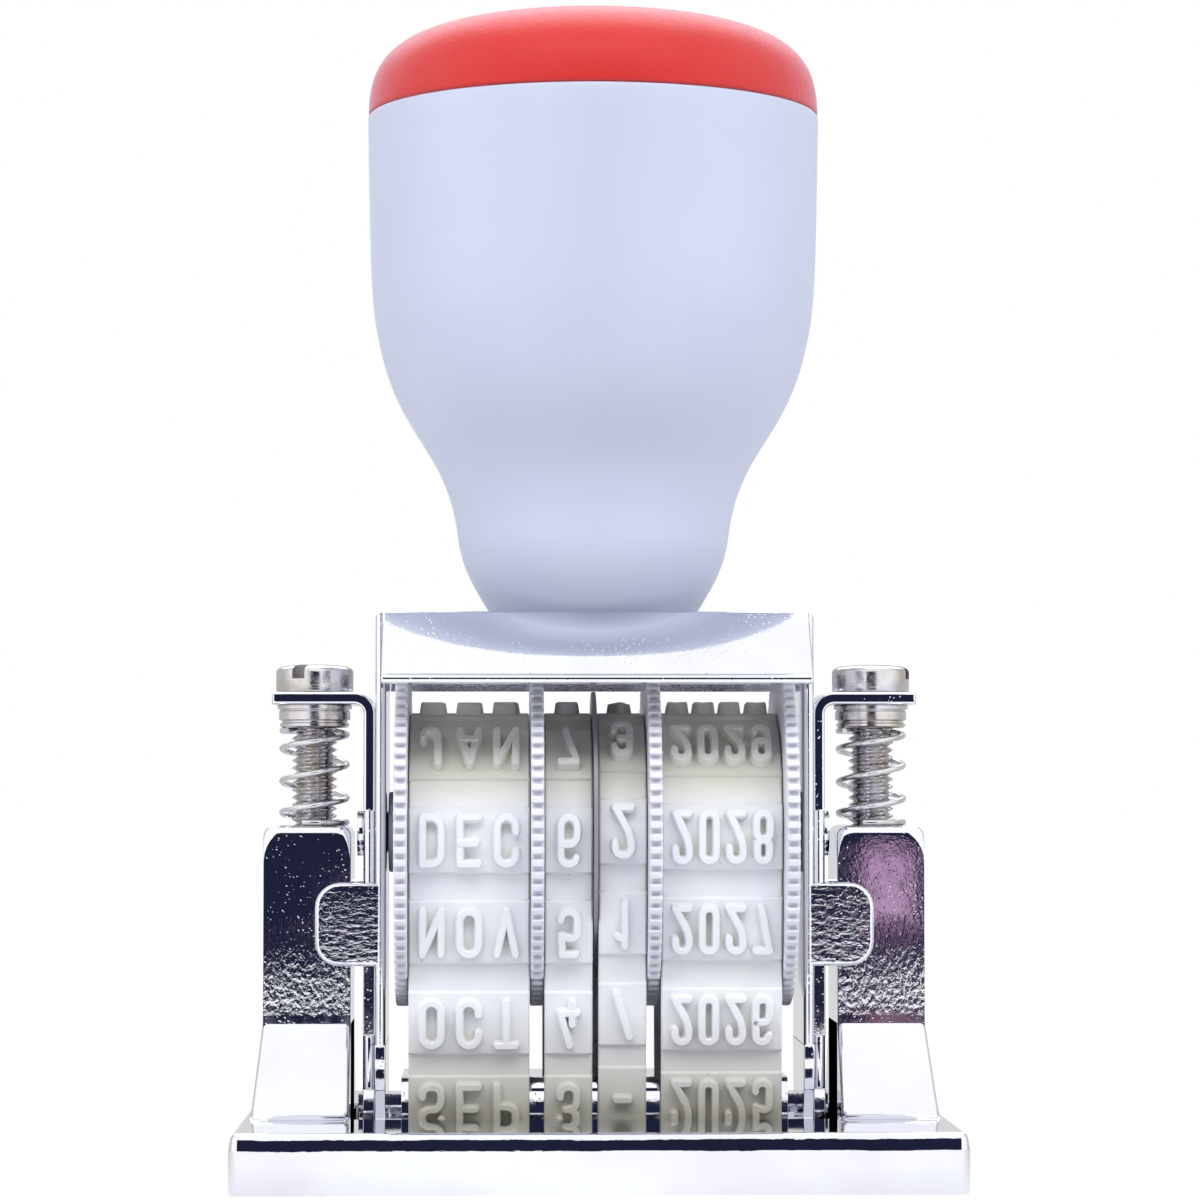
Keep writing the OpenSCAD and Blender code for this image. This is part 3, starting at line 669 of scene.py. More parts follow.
def hood_section():
    """The hood's outline from the side, (y, z), counter-clockwise from its inner lip edge at the back."""
    inner_flat = 0.35
    inner_y = HOOD_HALF_D - SHEET_T
    lip_y = HOOD_HALF_D + LIP_OUT
    slope = hood_slope(HOOD_HALF_D, HOOD_FLAT / 2, yoke_top)
    hollow = hood_slope(inner_y, HOOD_FLAT / 2 - inner_flat * SHEET_T, yoke_top - SHEET_T)
    lip = [(inner_y, HOOD_Z), (lip_y, HOOD_Z), (lip_y, HOOD_Z + LIP_H), slope[0]]
    half = round_corners(lip, [0, LIP_R, LIP_R, 0], closed=False)[:-1] + slope[:-1]
    half += round_corners([slope[-2], slope[-1], (0, yoke_top)], HOOD_TOP_R, closed=False)[1:-1]
    outside = half + [(-y, z) for y, z in reversed(half)]
    inside = [(-y, z) for y, z in hollow] + hollow[::-1]
    return outside + inside


def make_yoke():
    """The hood, and at each side a plate, rolled above and sheared below, with a tab at front and back."""
    below_top = 0.02
    sunk = 0.3
    foot_r, flank_r, seam_r = 0.8, 1.5, 0.3
    bm = bmesh.new()
    plate(bm, hood_section(), lambda y, z, x: (x, y, z), -HOOD_END_X, HOOD_END_X, HOOD_END_EDGE)
    upper = rectangle(-PLATE_HALF_D, PLATE_ROLLED_Z, PLATE_HALF_D, yoke_top - below_top)
    foot_half_d = PLATE_HALF_D - PLATE_TAPER
    foot_z = PLATE_Z + PLATE_TAPER_H
    seam_z = PLATE_ROLLED_Z + OVERLAP
    right = [(foot_half_d, PLATE_Z), (PLATE_HALF_D, foot_z), (PLATE_HALF_D, seam_z)]
    left = [(-PLATE_HALF_D, seam_z), (-PLATE_HALF_D, foot_z)]
    lower = [(-foot_half_d, PLATE_Z)] + right + left
    lower = round_corners(lower, [foot_r, foot_r, flank_r, seam_r, seam_r, flank_r])
    tab = round_corners(rectangle(YOKE_IN_X + sunk, TAB_Z, TAB_END_X, TAB_TOP), [0, TAB_R, TAB_R, 0])
    for side in (-1, 1):
        plate(bm, upper, lambda y, z, x: (side * x, y, z), YOKE_IN_X, YOKE_OUT_X, ROLLED_EDGE)
        plate(bm, lower, lambda y, z, x: (side * x, y, z), YOKE_IN_X, YOKE_OUT_X, SHEARED_EDGE)
        for y in (-PLATE_HALF_D, PLATE_HALF_D - SHEET_T):
            plate(bm, tab, lambda x, z, w: (side * x, w, z), y, y + SHEET_T, TAB_EDGE)
    dress(keep_flats(make_object("yoke_sheet", bm, SHEET_ANGLE)), "carriage", TAB_CHROME, "yoke")


def make_ear_plate(name, side):
    """A bent plate: sheared edges on its ear and upper arm, and by turns rolled and sheared ones below."""
    bm = bmesh.new()
    arm_x = YOKE_OUT_X + EAR_T
    ear_top = EAR_Z + EAR_T
    arm_top = ARM_ROUND_TOP - OVERLAP
    bend = (YOKE_OUT_X + EAR_BEND_R, ear_top - EAR_BEND_R)
    outside = arc_run(bend, EAR_BEND_R, 90, 180, 10)
    inside = arc_run(bend, EAR_BEND_R - EAR_T, 180, 90, 6)
    upper = [(EAR_END_X, EAR_Z), (EAR_END_X, ear_top)] + outside
    upper += [(YOKE_OUT_X, arm_top), (arm_x, arm_top)] + inside
    plate(bm, upper, lambda x, z, y: (side * x, y, z), -EAR_HALF_D, EAR_HALF_D, EAR_EDGE)
    for low, high, edge in ARM_EDGES:
        strip = rectangle(YOKE_OUT_X, low, arm_x, high)
        plate(bm, strip, lambda x, z, y: (side * x, y, z), -EAR_HALF_D, EAR_HALF_D, edge, EDGE_STEPS)
    dress(keep_flats(make_object("bent_" + name, bm, SHEET_ANGLE)), "carriage", CHROME, name)


make_base()
make_yoke()
make_ear_plate("ear_plate_left", -1)
make_ear_plate("ear_plate_right", 1)


# Handle and cap: outlines as curves through (radius, height) points
NECK = (10.2, 6.1)
SHOULDER = (16.1, 20.5)
FOOT_R = 7.65
CAP_STEP = 0.05
handle_h = rim_z - yoke_top
cap_h = cap_top - rim_z
swell = (SHOULDER[0] - NECK[0], SHOULDER[1] - NECK[1])
rise = handle_h - SHOULDER[1]
foot_curve = [(FOOT_R, 0), (FOOT_R + 1, 0.27 * NECK[1]), (NECK[0] - 0.25, 0.57 * NECK[1]), NECK]
waist_curve = [
    NECK,
    (NECK[0] + 0.145 * swell[0], NECK[1] + 0.46 * swell[1]),
    (SHOULDER[0] - 0.24 * swell[0], SHOULDER[1] - 0.5 * swell[1]),
    SHOULDER,
]
rim_curve = [
    SHOULDER,
    (handle_top_r - 0.2, SHOULDER[1] + 0.16 * rise),
    (handle_top_r - 0.2, SHOULDER[1] + 0.38 * rise),
    (handle_top_r, handle_h),
]


def make_handle():
    """The handle's skin, with a small round at its rim."""
    edge = 0.3
    skin = bezier_run(foot_curve, 16) + bezier_run(waist_curve, 28)[1:] + bezier_run(rim_curve, 20)[1:]
    skin = [p for p in skin if p[1] < handle_h - edge]
    rim = arc_run((handle_top_r - edge, handle_h - edge), edge, 0, 90, 5)
    outline = [(0, 0)] + skin + rim + [(0, handle_h)]
    bm = bmesh.new()
    lathe(bm, [(r, yoke_top + h) for r, h in outline])
    dress(make_object("handle_skin", bm), "carriage", HANDLE, "handle_body")


def make_cap():
    """The cap's dome, with a small round at its foot."""
    edge = 0.25
    cap_r = handle_top_r - CAP_STEP
    dome = [(cap_r, 0), (cap_r, 0.72 * cap_h), (0.85 * cap_r, cap_h), (0, cap_h)]
    skin = [p for p in bezier_run(dome, 40) if p[1] > edge]
    outline = [(0, 0), (cap_r - edge, 0)] + arc_run((cap_r - edge, edge), edge, -70, 0, 4) + skin
    bm = bmesh.new()
    lathe(bm, [(r, rim_z + h) for r, h in outline])
    dress(make_object("cap_skin", bm), "carriage", CAP, "handle_cap")


make_handle()
make_cap()


# Screws, springs and seats
THREAD_R = 1.7
THREAD_PITCH = 0.55
THREAD_DEPTH = 0.4
# The thread's flanks: how steep they are, and how much of the root is flat
THREAD_SLOPE = 1.25
THREAD_ROOT = 0.1
TURNED_SEGMENTS = 64
TURNED_ANGLE = 30
HEAD_H = 2.1
HEAD_FOOT_R = 0.15
HEAD_SUNK = 0.1
SCREW_EDGE = 0.06
SCREW_EDGE_ANGLE = 55
SLOT_W = 1.0
SLOT_H = 1.1
SPRING_WIRE = 0.45
SPRING_TURNS = 3
SPRING_ANGLE = 50
# Turns that lie flat at each end, how softly they start to climb, and where the first one starts
SPRING_FLAT = 0.45
SPRING_EASE = 0.12
SPRING_START = 0.3
SEAT_CLEARANCE = 0.2
# (inwards, height) up the seat from its foot, and (inwards, down) from its top
SEAT_FOOT = ((0.35, 0), (0.2, 0.12), (0.2, 0.3), (0.34, 0.38), (0.34, 0.5), (0.12, 0.6))
SEAT_TOP = ((0.12, 0.5), (0.2, 0.42), (0.2, 0.36), (0, 0.3), (0, 0.06), (0.06, 0))


def thread_mesh(bm, x, z0, z1):
    """A threaded shank: a cylinder whose radius follows the helix."""
    sides = 40
    steps = 8
    loops = []
    for i in range(int((z1 - z0) / THREAD_PITCH * steps) + 1):
        z = z0 + i * THREAD_PITCH / steps
        loop = []
        for k in range(sides):
            phase = (z / THREAD_PITCH - k / sides) % 1
            ridge = min(1, max(0, THREAD_SLOPE * abs(2 * phase - 1) - THREAD_ROOT))
            r = THREAD_R - THREAD_DEPTH * (1 - ridge)
            a = 2 * math.pi * k / sides
            loop.append((x + r * math.cos(a), r * math.sin(a), z))
        loops.append(loop)
    loft(bm, loops)


def head_mesh(x, slot_turn):
    """A cheese head with a slot, cut by a boolean and taken as a finished mesh."""
    side_h, side_pull, crown_pull = 0.72, 0.97, 0.62
    head_z = screw_high.z - HEAD_H
    foot = arc_run((head_r - HEAD_FOOT_R, head_z + HEAD_FOOT_R), HEAD_FOOT_R, -90, 0, 3)
    side = [(head_r, head_z + side_h * HEAD_H), (head_r, head_z + side_pull * HEAD_H)]
    crown = bezier_run(side + [(crown_pull * head_r, screw_high.z), (0, screw_high.z)], 12)
    bm = bmesh.new()
    lathe(bm, [(0, head_z)] + foot + crown, x, TURNED_SEGMENTS)
    head = make_object("head", bm)
    bm = bmesh.new()
    bmesh.ops.create_cube(bm, size=1)
    turn = math.radians(slot_turn)
    for v in bm.verts:
        along, across, up = v.co.y * 4 * head_r, v.co.x * SLOT_W, v.co.z * 2 * SLOT_H
        v.co = Vector((
            x + across * math.cos(turn) - along * math.sin(turn),
            across * math.sin(turn) + along * math.cos(turn),
            screw_high.z + up,
        )) * MM
    cutter = make_object("cutter", bm)
    cut = head.modifiers.new("slot", "BOOLEAN")
    cut.operation = "DIFFERENCE"
    cut.solver = "EXACT"
    cut.object = cutter
    graph = bpy.context.evaluated_depsgraph_get()
    mesh = bpy.data.meshes.new_from_object(head.evaluated_get(graph))
    bpy.data.objects.remove(head)
    bpy.data.objects.remove(cutter)
    return mesh


def make_screw(side, x, slot_turn):
    bm = bmesh.new()
    bm.from_mesh(head_mesh(x, slot_turn))
    thread_mesh(bm, x, screw_low.z, screw_high.z - HEAD_H + HEAD_SUNK)
    obj = make_object("threaded_screw_" + side, bm, TURNED_ANGLE)
    round_edges(obj, SCREW_EDGE, SCREW_EDGE_ANGLE)
    dress(obj, "screw_" + side, NICKEL, "adjusting_screw_" + side)


def make_spring(side, x):
    """A coil of round wire; its end coils close flat on the column and the seat."""
    sides = 12
    per_turn = 36
    coil_r = (spring_high.x - spring_low.x - SPRING_WIRE) / 2
    low = spring_low.z + SPRING_WIRE / 2
    high = spring_high.z - SPRING_WIRE / 2
    count = int((SPRING_TURNS + 2 * SPRING_FLAT) * per_turn)
    places = []
    for i in range(count + 1):
        turn = i / per_turn
        t = min(1, max(0, (turn - SPRING_FLAT) / SPRING_TURNS))
        climb = t - SPRING_EASE * math.sin(2 * math.pi * t) / (2 * math.pi)
        a = 2 * math.pi * (turn - SPRING_START)
        places.append(Vector((coil_r * math.cos(a), coil_r * math.sin(a), low + (high - low) * climb)))
    loops = []
    for i, p in enumerate(places):
        along = places[min(i + 1, count)] - places[max(i - 1, 0)]
        out = Vector((p.x, p.y, 0)).normalized()
        up = along.cross(out).normalized()
        loop = []
        for k in range(sides):
            b = 2 * math.pi * k / sides
            loop.append(p + SPRING_WIRE / 2 * (math.cos(b) * out + math.sin(b) * up) + Vector((x, 0, 0)))
        loops.append(loop)
    bm = bmesh.new()
    loft(bm, loops)
    obj = make_object("wire_spring_" + side, bm, SPRING_ANGLE)
    dress(obj, "base", SPRING, "return_spring_" + side)
    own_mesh(obj)


def make_seat(side, x):
    """A turned collar with a thin flange at its top and a groove round it."""
    r = (seat_high.x - seat_low.x) / 2
    bore = THREAD_R + SEAT_CLEARANCE
    outline = [(bore, seat_low.z)]
    outline += [(r - inwards, seat_low.z + up) for inwards, up in SEAT_FOOT]
    outline += [(r - inwards, seat_high.z - down) for inwards, down in SEAT_TOP]
    outline.append((bore, seat_high.z))
    bm = bmesh.new()
    lathe(bm, outline, x, TURNED_SEGMENTS, closed=True)
    obj = make_object("turned_seat_" + side, bm, TURNED_ANGLE)
    dress(obj, "carriage", NICKEL, "spring_seat_" + side)


for side, x, slot_turn in (("left", -screw_x, -23), ("right", screw_x, 70)):
    make_screw(side, x, slot_turn)
    make_spring(side, x)
    make_seat(side, x)


# Type: each glyph is a list of strokes on a unit box, (corner radius, closed, points).
# A corner radius of 1 is half the glyph's width


def line(x0, y0, x1, y1):
    return 0, False, [(x0, y0), (x1, y1)]


def curve(corner, *points):
    return corner, False, points


def oval(corner, *points):
    return corner, True, points


GLYPHS = {
    "A": [line(0, 0, 0.5, 1), line(1, 0, 0.5, 1), line(0.17, 0.3, 0.83, 0.3)],
    "B": [
        line(0, 0, 0, 1),
        curve(0.8, (0, 1), (0.92, 1), (0.92, 0.54), (0, 0.54)),
        curve(0.9, (0, 0.54), (1, 0.54), (1, 0), (0, 0)),
    ],
    "C": [curve(1, (1, 0.72), (1, 1), (0, 1), (0, 0), (1, 0), (1, 0.28))],
    "D": [line(0, 0, 0, 1), curve(1.1, (0, 1), (1, 1), (1, 0), (0, 0))],
    "E": [line(1, 1, 0, 1), line(0, 1, 0, 0), line(0, 0, 1, 0), line(0, 0.52, 0.85, 0.52)],
    "F": [line(1, 1, 0, 1), line(0, 1, 0, 0), line(0, 0.5, 0.85, 0.5)],
    "G": [curve(1, (1, 0.72), (1, 1), (0, 1), (0, 0), (1, 0), (1, 0.45)), line(1, 0.45, 0.55, 0.45)],
    "J": [curve(0.7, (0.8, 1), (0.8, 0), (0, 0), (0, 0.2))],
    "L": [line(0, 1, 0, 0), line(0, 0, 1, 0)],
    "M": [line(0, 0, 0, 1), line(0, 1, 0.5, 0.35), line(0.5, 0.35, 1, 1), line(1, 1, 1, 0)],
    "N": [line(0, 0, 0, 1), line(0, 1, 1, 0), line(1, 0, 1, 1)],
    "O": [oval(1, (0, 0), (1, 0), (1, 1), (0, 1))],
    "P": [line(0, 0, 0, 1), curve(0.95, (0, 1), (1, 1), (1, 0.46), (0, 0.46))],
    "R": [line(0, 0, 0, 1), curve(0.95, (0, 1), (1, 1), (1, 0.48), (0, 0.48)), line(0.5, 0.48, 1, 0)],
    "S": [curve(0.9, (1, 0.76), (1, 1), (0, 1), (0, 0.53), (1, 0.53), (1, 0), (0, 0), (0, 0.24))],
    "T": [line(0, 1, 1, 1), line(0.5, 1, 0.5, 0)],
    "U": [curve(1, (0, 1), (0, 0), (1, 0), (1, 1))],
    "V": [line(0, 1, 0.5, 0), line(0.5, 0, 1, 1)],
    "Y": [line(0, 1, 0.5, 0.48), line(1, 1, 0.5, 0.48), line(0.5, 0.48, 0.5, 0)],
    "0": [oval(1, (0, 0), (1, 0), (1, 1), (0, 1))],
    "1": [line(0.2, 0.78, 0.62, 0.86), line(0.62, 1, 0.62, 0)],
    "2": [curve(1, (0, 0.72), (0, 1), (1, 1), (1, 0.6), (0, 0)), line(0, 0, 1, 0)],
    "3": [
        curve(0.95, (0, 0.78), (0, 1), (0.95, 1), (0.95, 0.53), (0.35, 0.53)),
        curve(0.95, (0.35, 0.53), (1, 0.53), (1, 0), (0, 0), (0, 0.24)),
    ],
    "4": [line(0.55, 1, 0, 0.24), line(0, 0.24, 1, 0.24), line(0.72, 0.5, 0.72, 0)],
    "5": [
        line(0.92, 1, 0.08, 1),
        line(0.08, 1, 0.04, 0.56),
        curve(0.95, (0.04, 0.56), (0.3, 0.62), (1, 0.62), (1, 0), (0, 0), (0, 0.2)),
    ],
    "6": [curve(1, (0.95, 0.86), (0.9, 1), (0, 1), (0, 0), (1, 0), (1, 0.54), (0, 0.54))],
    "7": [line(0, 1, 1, 1), line(1, 1, 0.35, 0)],
    "8": [
        oval(0.9, (0.06, 0.53), (0.94, 0.53), (0.94, 1), (0.06, 1)),
        oval(1, (0, 0), (1, 0), (1, 0.53), (0, 0.53)),
    ],
    "9": [curve(1, (0.05, 0.14), (0.1, 0), (1, 0), (1, 1), (0, 1), (0, 0.46), (1, 0.46))],
    "/": [line(0.1, 0, 0.9, 1)],
    "-": [line(0.12, 0.5, 0.88, 0.5)],
}
TYPE_LEN = 3.64
# On the wheel the band's bend spreads the type, so it starts shorter there
WHEEL_TYPE = 0.85
STROKE_FACE = 0.5
STROKE_FOOT = 0.76
FACE_EDGE = 0.07
# Strokes that cross differ by this much in height, so that no two faces lie in one plane
STROKE_STEP = 0.015
# How far each row sits off even spacing
ROW_DRIFT = (0, 0.8, 0.15, 0, -0.2, -0.4, -0.4, -0.4, -0.3, -0.2, -0.1, 0)
SUNK = 0.08
# The belts are this much wider at each side than the solids, which leave room to move
BELT_WIDER = 0.08
TYPE_ANGLE = 32


def normals(path, closed):
    """The unit normal to the left of the path at each point."""
    n = len(path)
    found = []
    for i in range(n):
        a = path[i - 1] if closed or i > 0 else path[i]
        b = path[(i + 1) % n] if closed or i < n - 1 else path[i]
        d = math.dist(a, b)
        found.append((-(b[1] - a[1]) / d, (b[0] - a[0]) / d))
    return found


def stroke_outlines(path, closed, half):
    """One closed outline round an open stroke with round ends, or two round a closed one."""
    ns = normals(path, closed)
    left = [(p[0] + half * n[0], p[1] + half * n[1]) for p, n in zip(path, ns)]
    right = [(p[0] - half * n[0], p[1] - half * n[1]) for p, n in zip(path, ns)]
    if closed:
        return [left, right]
    cap = 6
    ends = []
    for p, n in ((path[-1], ns[-1]), (path[0], (-ns[0][0], -ns[0][1]))):
        start = math.atan2(n[1], n[0])
        angles = [start - math.pi * i / cap for i in range(1, cap)]
        ends.append([(p[0] + half * math.cos(a), p[1] + half * math.sin(a)) for a in angles])
    return [left + ends[0] + right[::-1] + ends[1]]


def add_stroke(bm, relief, path, closed, top, place):
    """A stroke with sloping sides and softened upper edges, as a closed shell.

    A level is a half width, a height and the relief that the rubber's colour goes by.
    """
    levels = (
        (STROKE_FOOT / 2, -SUNK, 0.35),
        (STROKE_FACE / 2, top - FACE_EDGE, 0.9),
        (STROKE_FACE / 2 - FACE_EDGE, top, 1.0),
    )
    shells = []
    for half, height, value in levels:
        loops = []
        for outline in stroke_outlines(path, closed, half):
            verts = [bm.verts.new(place(u, v, height)) for u, v in outline]
            for vert in verts:
                vert[relief] = value
            loops.append(verts)
        shells.append(loops)
    for run in zip(*shells):
        join_run(bm, list(run))
    n = len(path)
    for loops in (shells[0], shells[-1]):
        if closed:
            join_rings(bm, loops[0], loops[1])
            continue
        ring = loops[0]
        caps = (len(ring) - 2 * n) // 2
        right = [ring[n + caps + n - 1 - i] for i in range(n)]
        for i in range(n - 1):
            bm.faces.new((ring[i], ring[i + 1], right[i + 1], right[i]))
        bm.faces.new(ring[n - 1 : n + caps + 1])
        bm.faces.new(ring[2 * n + caps - 1 :] + [ring[0]])


def add_word(bm, relief, word, width, pitch, x_mid, s_mid):
    """A row of type. It reads from left to right and stands on its head, as it has to print."""
    wide = width - STROKE_FACE
    on_wheel = STRAIGHT_END < s_mid - TYPE_LEN / 2 and s_mid + TYPE_LEN / 2 < 2 * HALF_LOOP - STRAIGHT_END
    tall = (TYPE_LEN - STROKE_FACE) * (WHEEL_TYPE if on_wheel else 1)
    for i, char in enumerate(word):
        u_mid = (i - (len(word) - 1) / 2) * pitch

        def place(u, v, height):
            y, z = loop_point(s_mid - v, BAND_T / 2 + ROW_H + height)
            return Vector((x_mid + u_mid + u, y, z)) * MM

        for k, (corner, closed, points) in enumerate(GLYPHS[char]):
            scaled = [((u - 0.5) * wide, (v - 0.5) * tall) for u, v in points]
            path = round_corners(scaled, corner * wide / 2, closed)
            add_stroke(bm, relief, path, closed, TYPE_H - k * STROKE_STEP, place)


def add_belt(bm, relief, x0, x1, rows):
    """The closed belt, with a raised pad under each row and softened side edges."""
    side = 0.12
    ramp, ramp_mid, ramp_foot = 0.16, 0.75, 0.03
    pad_steps = 14
    pad_relief = 0.25
    half = ROW_LEN / 2
    places = []
    for middle, following in zip(rows, rows[1:] + [rows[0] + 2 * HALF_LOOP]):
        end = middle + half
        gap = following - middle - ROW_LEN
        places += [(middle - half + ROW_LEN * i / pad_steps, ROW_H) for i in range(pad_steps + 1)]
        places += [(end + ramp / 2, ROW_H * ramp_mid), (end + ramp, ramp_foot)]
        places += [(end + gap * t, 0) for t in (0.3, 0.5, 0.7)]
        places += [(end + gap - ramp, ramp_foot), (end + gap - ramp / 2, ROW_H * ramp_mid)]
    rings = []
    for s, up in places:
        outer = BAND_T / 2 + up
        left = ((x0, -BAND_T / 2), (x0, outer - side), (x0 + side, outer))
        right = ((x1 - side, outer), (x1, outer - side), (x1, -BAND_T / 2))
        section = []
        for x, out in left + right:
            y, z = loop_point(s, out)
            vert = bm.verts.new(Vector((x, y, z)) * MM)
            vert[relief] = pad_relief * up / ROW_H
            section.append(vert)
        rings.append(section)
    join_run(bm, rings, closed=True)


def make_band(node, words, shift, width, pitch):
    """A band whose rows start at shift, with letters of one width at one pitch."""
    low, high = node_box(node)
    rows = [k * ROW_PITCH + shift + drift for k, drift in enumerate(ROW_DRIFT)]
    bm = bmesh.new()
    relief = bm.verts.layers.float.new("relief")
    add_belt(bm, relief, low.x - BELT_WIDER, high.x + BELT_WIDER, rows)
    for middle, word in zip(rows, words):
        add_word(bm, relief, word, width, pitch, (low.x + high.x) / 2, middle)
    obj = make_object(node.replace("_band", "_type_band"), bm, TYPE_ANGLE)
    dress(obj, "carriage", RUBBER, node)


# Rows from the printing place at the bottom, up the front and over
MONTHS = ["AUG", "SEP", "OCT", "NOV", "DEC", "JAN", "FEB", "MAR", "APR", "MAY", "JUN", "JUL"]
FIRST_YEAR = 2024
YEARS = [str(FIRST_YEAR + k) for k in range(ROWS)]
make_band("month_band", MONTHS, 0.45, 1.86, 2.72)
make_band("day_units_band", list("234567890/-1"), 0.45, 1.7, 0)
make_band("day_tens_band", list("0-/123456789"), 1.1, 1.7, 0)
make_band("year_band", YEARS, 0.7, 1.5, 1.97)


# Studio. Mirrored rays get the white brighter, by what the plating takes away
MIRRORED = 1.38


def add_plane(name, corners, mat):
    bm = bmesh.new()
    bm.faces.new([bm.verts.new(c) for c in corners])
    obj = make_object(name, bm)
    obj.data.materials.append(mat)
    return obj


def ray_share(tree, output):
    """1 for the camera's own rays or their mirrored rays, and 0 for the rest and once light has scattered."""
    path = tree.nodes.new("ShaderNodeLightPath")
    unscattered = remap(tree, path.outputs["Diffuse Depth"], 0, 1, 1, 0)
    return times(tree, path.outputs[output], unscattered)


def fade(tree, space, sideways, low, high, least):
    """1 in front of the stamp, falling beside and behind it, so that the plating has a shape."""
    place = split_space(tree, space)
    depth = combine(tree, "MULTIPLY_ADD", combine(tree, "ABSOLUTE", place["X"]), sideways, place["Y"])
    return remap(tree, depth, low, high, 1, least)


def level(tree, lit, seen, share):
    """A strength for rays that light, that the camera sees, and that are mirrored, the last by a share."""
    direct = remap(tree, ray_share(tree, "Is Camera Ray"), 0, 1, lit, seen)
    glossy = remap(tree, ray_share(tree, "Is Glossy Ray"), 0, 1, 0, MIRRORED - lit)
    return combine(tree, "ADD", direct, times(tree, glossy, share))


def surface(tree, shader):
    tree.links.new(shader, tree.nodes["Material Output"].inputs["Surface"])


def floor_material():
    """White: seen and mirrored rays get most of it as plain white, and the stamp leaves a soft shadow."""
    mat, tree, shader = new_material("white_floor")
    tree.nodes.remove(shader)
    diffuse = add(tree, "BsdfDiffuse", Color=(0.8, 0.8, 0.82, 1))
    white = add(tree, "Emission", Color=(1, 1, 1, 1))
    near = fade(tree, "Object", sideways=0.8, low=-0.025, high=0.06, least=0.55)
    feed(tree, white, Strength=level(tree, lit=0, seen=1.03, share=near))
    away = tree.nodes.new("ShaderNodeVectorMath")
    away.operation = "LENGTH"
    tree.links.new(local_space(tree), away.inputs[0])
    # More of the shadow shows near the stamp, and none far away
    plain = remap(tree, away.outputs["Value"], 0.06, 0.3, 0.9, 1)
    seen = times(tree, ray_share(tree, "Is Camera Ray"), plain)
    mix = tree.nodes.new("ShaderNodeMixShader")
    feed(tree, mix, Fac=combine(tree, "ADD", seen, ray_share(tree, "Is Glossy Ray")))
    tree.links.new(diffuse.outputs["BSDF"], mix.inputs[1])
    tree.links.new(white.outputs["Emission"], mix.inputs[2])
    surface(tree, mix.outputs["Shader"])
    return mat


# A card that glows in its own colour though it is no lamp, for painted reflections in the plating
def glowing_card_material(name, colour):
    mat, tree, shader = new_material(name)
    tree.nodes.remove(shader)
    surface(tree, add(tree, "Emission", Color=(*colour, 1)).outputs["Emission"])
    return mat


FLOOR_FRONT = -0.17
FLOOR_BACK = 3
FLOOR_SIDE = 2
floor_corners = rectangle(-FLOOR_SIDE, FLOOR_FRONT, FLOOR_SIDE, FLOOR_BACK)
add_plane("floor", [(x, y, 0) for x, y in floor_corners], floor_material())
# Glowing cards behind the camera, which the camera doesn't see: they show only in the mirrored faces, as
# painted reflections, the dark one and the plum ones
CARD_Y = -0.46
for name, x0, x1, z0, z1, nearer, colour in (
    ("dark_card", -0.12, 0.12, -0.08, 0.2, 0, (0.018, 0.0215, 0.051)),
    ("plum_strip", -0.0344, -0.0321, -0.0045, 0.0105, 0.002, (0.46, 0.31, 0.46)),
    ("plum_card", 0.0598, 0.0693, 0.0005, 0.0178, 0.002, (0.64, 0.40, 0.60)),
    ("plum_card_low", 0.0598, 0.0693, -0.03, 0.0005, 0.002, (0.24, 0.13, 0.19)),
):
    corners = [(x, CARD_Y + nearer, z) for x, z in rectangle(x0, z0, x1, z1)]
    card = add_plane(name, corners, glowing_card_material(name, colour))
    card.visible_camera = False


def thrown_light(tree):
    """What the plating throws of the light from above, such as the hood on the foot of the handle."""
    path = tree.nodes.new("ShaderNodeLightPath")
    scattered = remap(tree, path.outputs["Diffuse Depth"], 0, 1, 0, 1.25)
    above = remap(tree, split_space(tree, "Generated")["Z"], 0.3, 0.6)
    return times(tree, times(tree, path.outputs["Is Glossy Ray"], scattered), above)


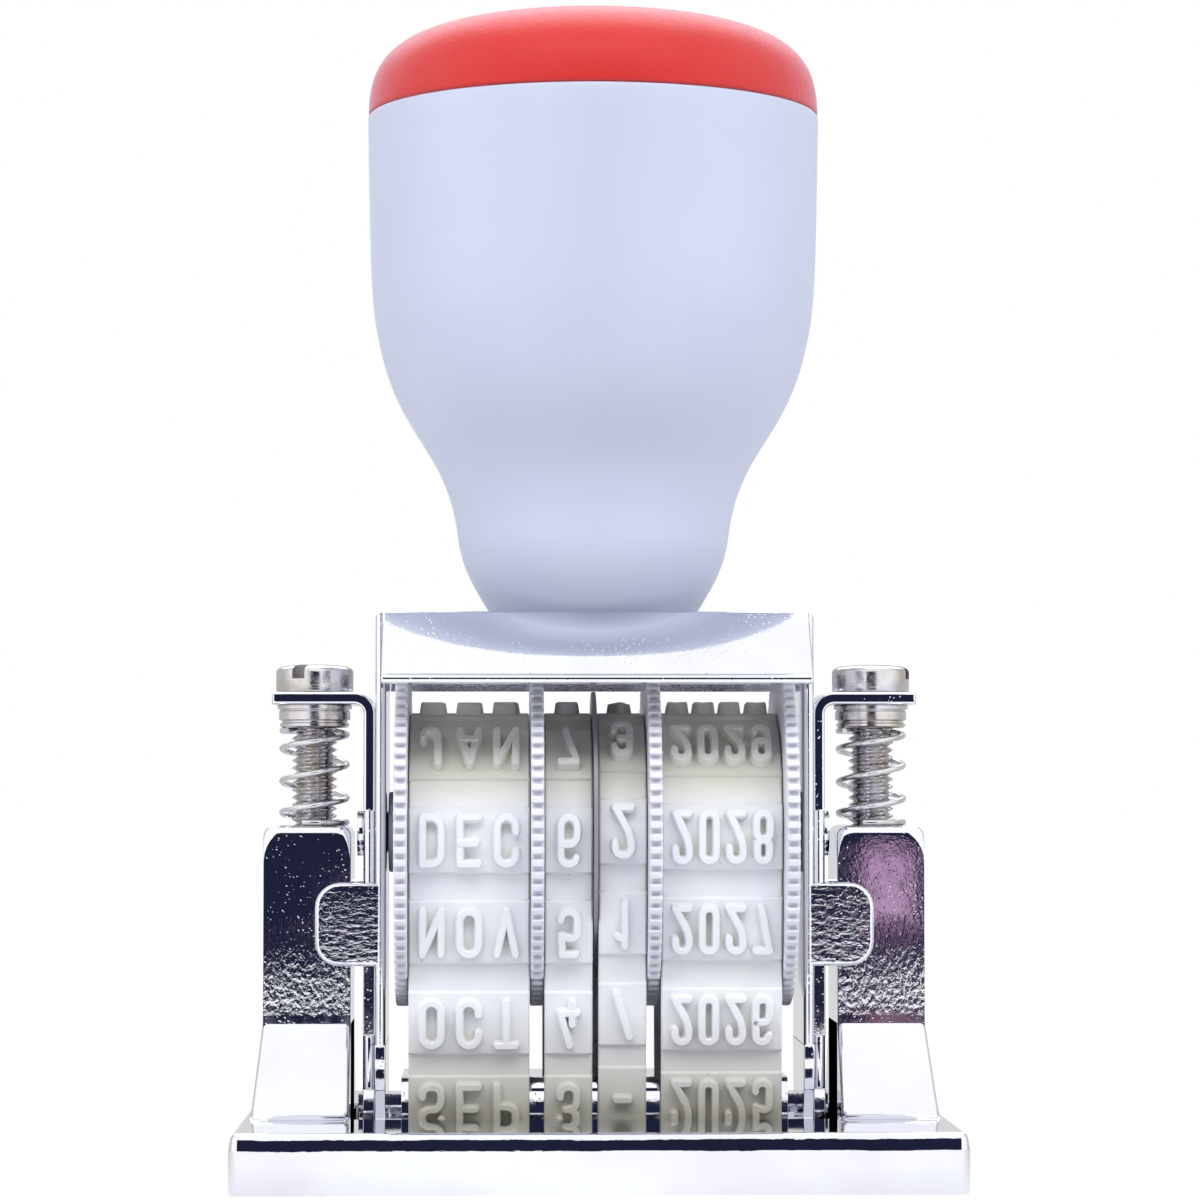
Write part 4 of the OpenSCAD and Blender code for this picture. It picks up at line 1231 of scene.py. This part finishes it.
def make_world():
    """White to the camera and in mirrors, and a soft even light on the rest."""
    world = bpy.data.worlds.new("white_studio")
    scene.world = world
    world.use_nodes = True
    tree = world.node_tree
    background = tree.nodes["Background"]
    background.inputs["Color"].default_value = (1, 1, 1, 1)
    front = fade(tree, "Generated", sideways=0.5, low=0.2, high=0.7, least=0.5)
    strength = combine(tree, "ADD", level(tree, lit=0.11, seen=1, share=front), thrown_light(tree))
    feed(tree, background, Strength=strength)


LAMP_AIM = Vector((0, 0, 0.04))


def add_softbox(name, place, size, watts, mirrored):
    lamp = bpy.data.lights.new(name, "AREA")
    lamp.shape = "RECTANGLE"
    lamp.size, lamp.size_y = size
    lamp.energy = watts
    obj = bpy.data.objects.new(name, lamp)
    obj.location = place
    obj.rotation_euler = (LAMP_AIM - Vector(place)).to_track_quat("-Z", "Y").to_euler()
    obj.visible_glossy = mirrored
    scene.collection.objects.link(obj)


make_world()
add_softbox("key_box", (0, -0.455, 0.515), (1.1, 0.26), 4.35, False)
add_softbox("low_box", (0, -0.5, 0.01), (0.6, 0.1), 0.25, False)
add_softbox("left_box", (-0.6, -0.1, 0.3), (0.4, 0.4), 1.3, False)
add_softbox("right_box", (0.6, -0.1, 0.3), (0.4, 0.4), 1.3, False)
add_softbox("back_box", (0, 0.5, 0.5), (0.8, 0.3), 1.6, True)
add_softbox("top_box", (0, 0.2, 0.68), (0.6, 0.15), 1.2, True)

# The photograph's viewpoint
CAMERA_PLACE = Vector((-7.4, -315, 28.7)) * MM
CAMERA_PITCH = math.radians(2.53)
CAMERA_YAW = math.radians(1.44)
CAMERA_LENS = 125.7
CAMERA_SENSOR = 36
camera_data = bpy.data.cameras.new("camera")
camera_data.lens = CAMERA_LENS
camera_data.sensor_width = CAMERA_SENSOR
camera_data.clip_start = 0.01
camera = bpy.data.objects.new("camera", camera_data)
camera.location = CAMERA_PLACE
camera.rotation_euler = (math.pi / 2 + CAMERA_PITCH, 0, -CAMERA_YAW)
scene.collection.objects.link(camera)
scene.camera = camera
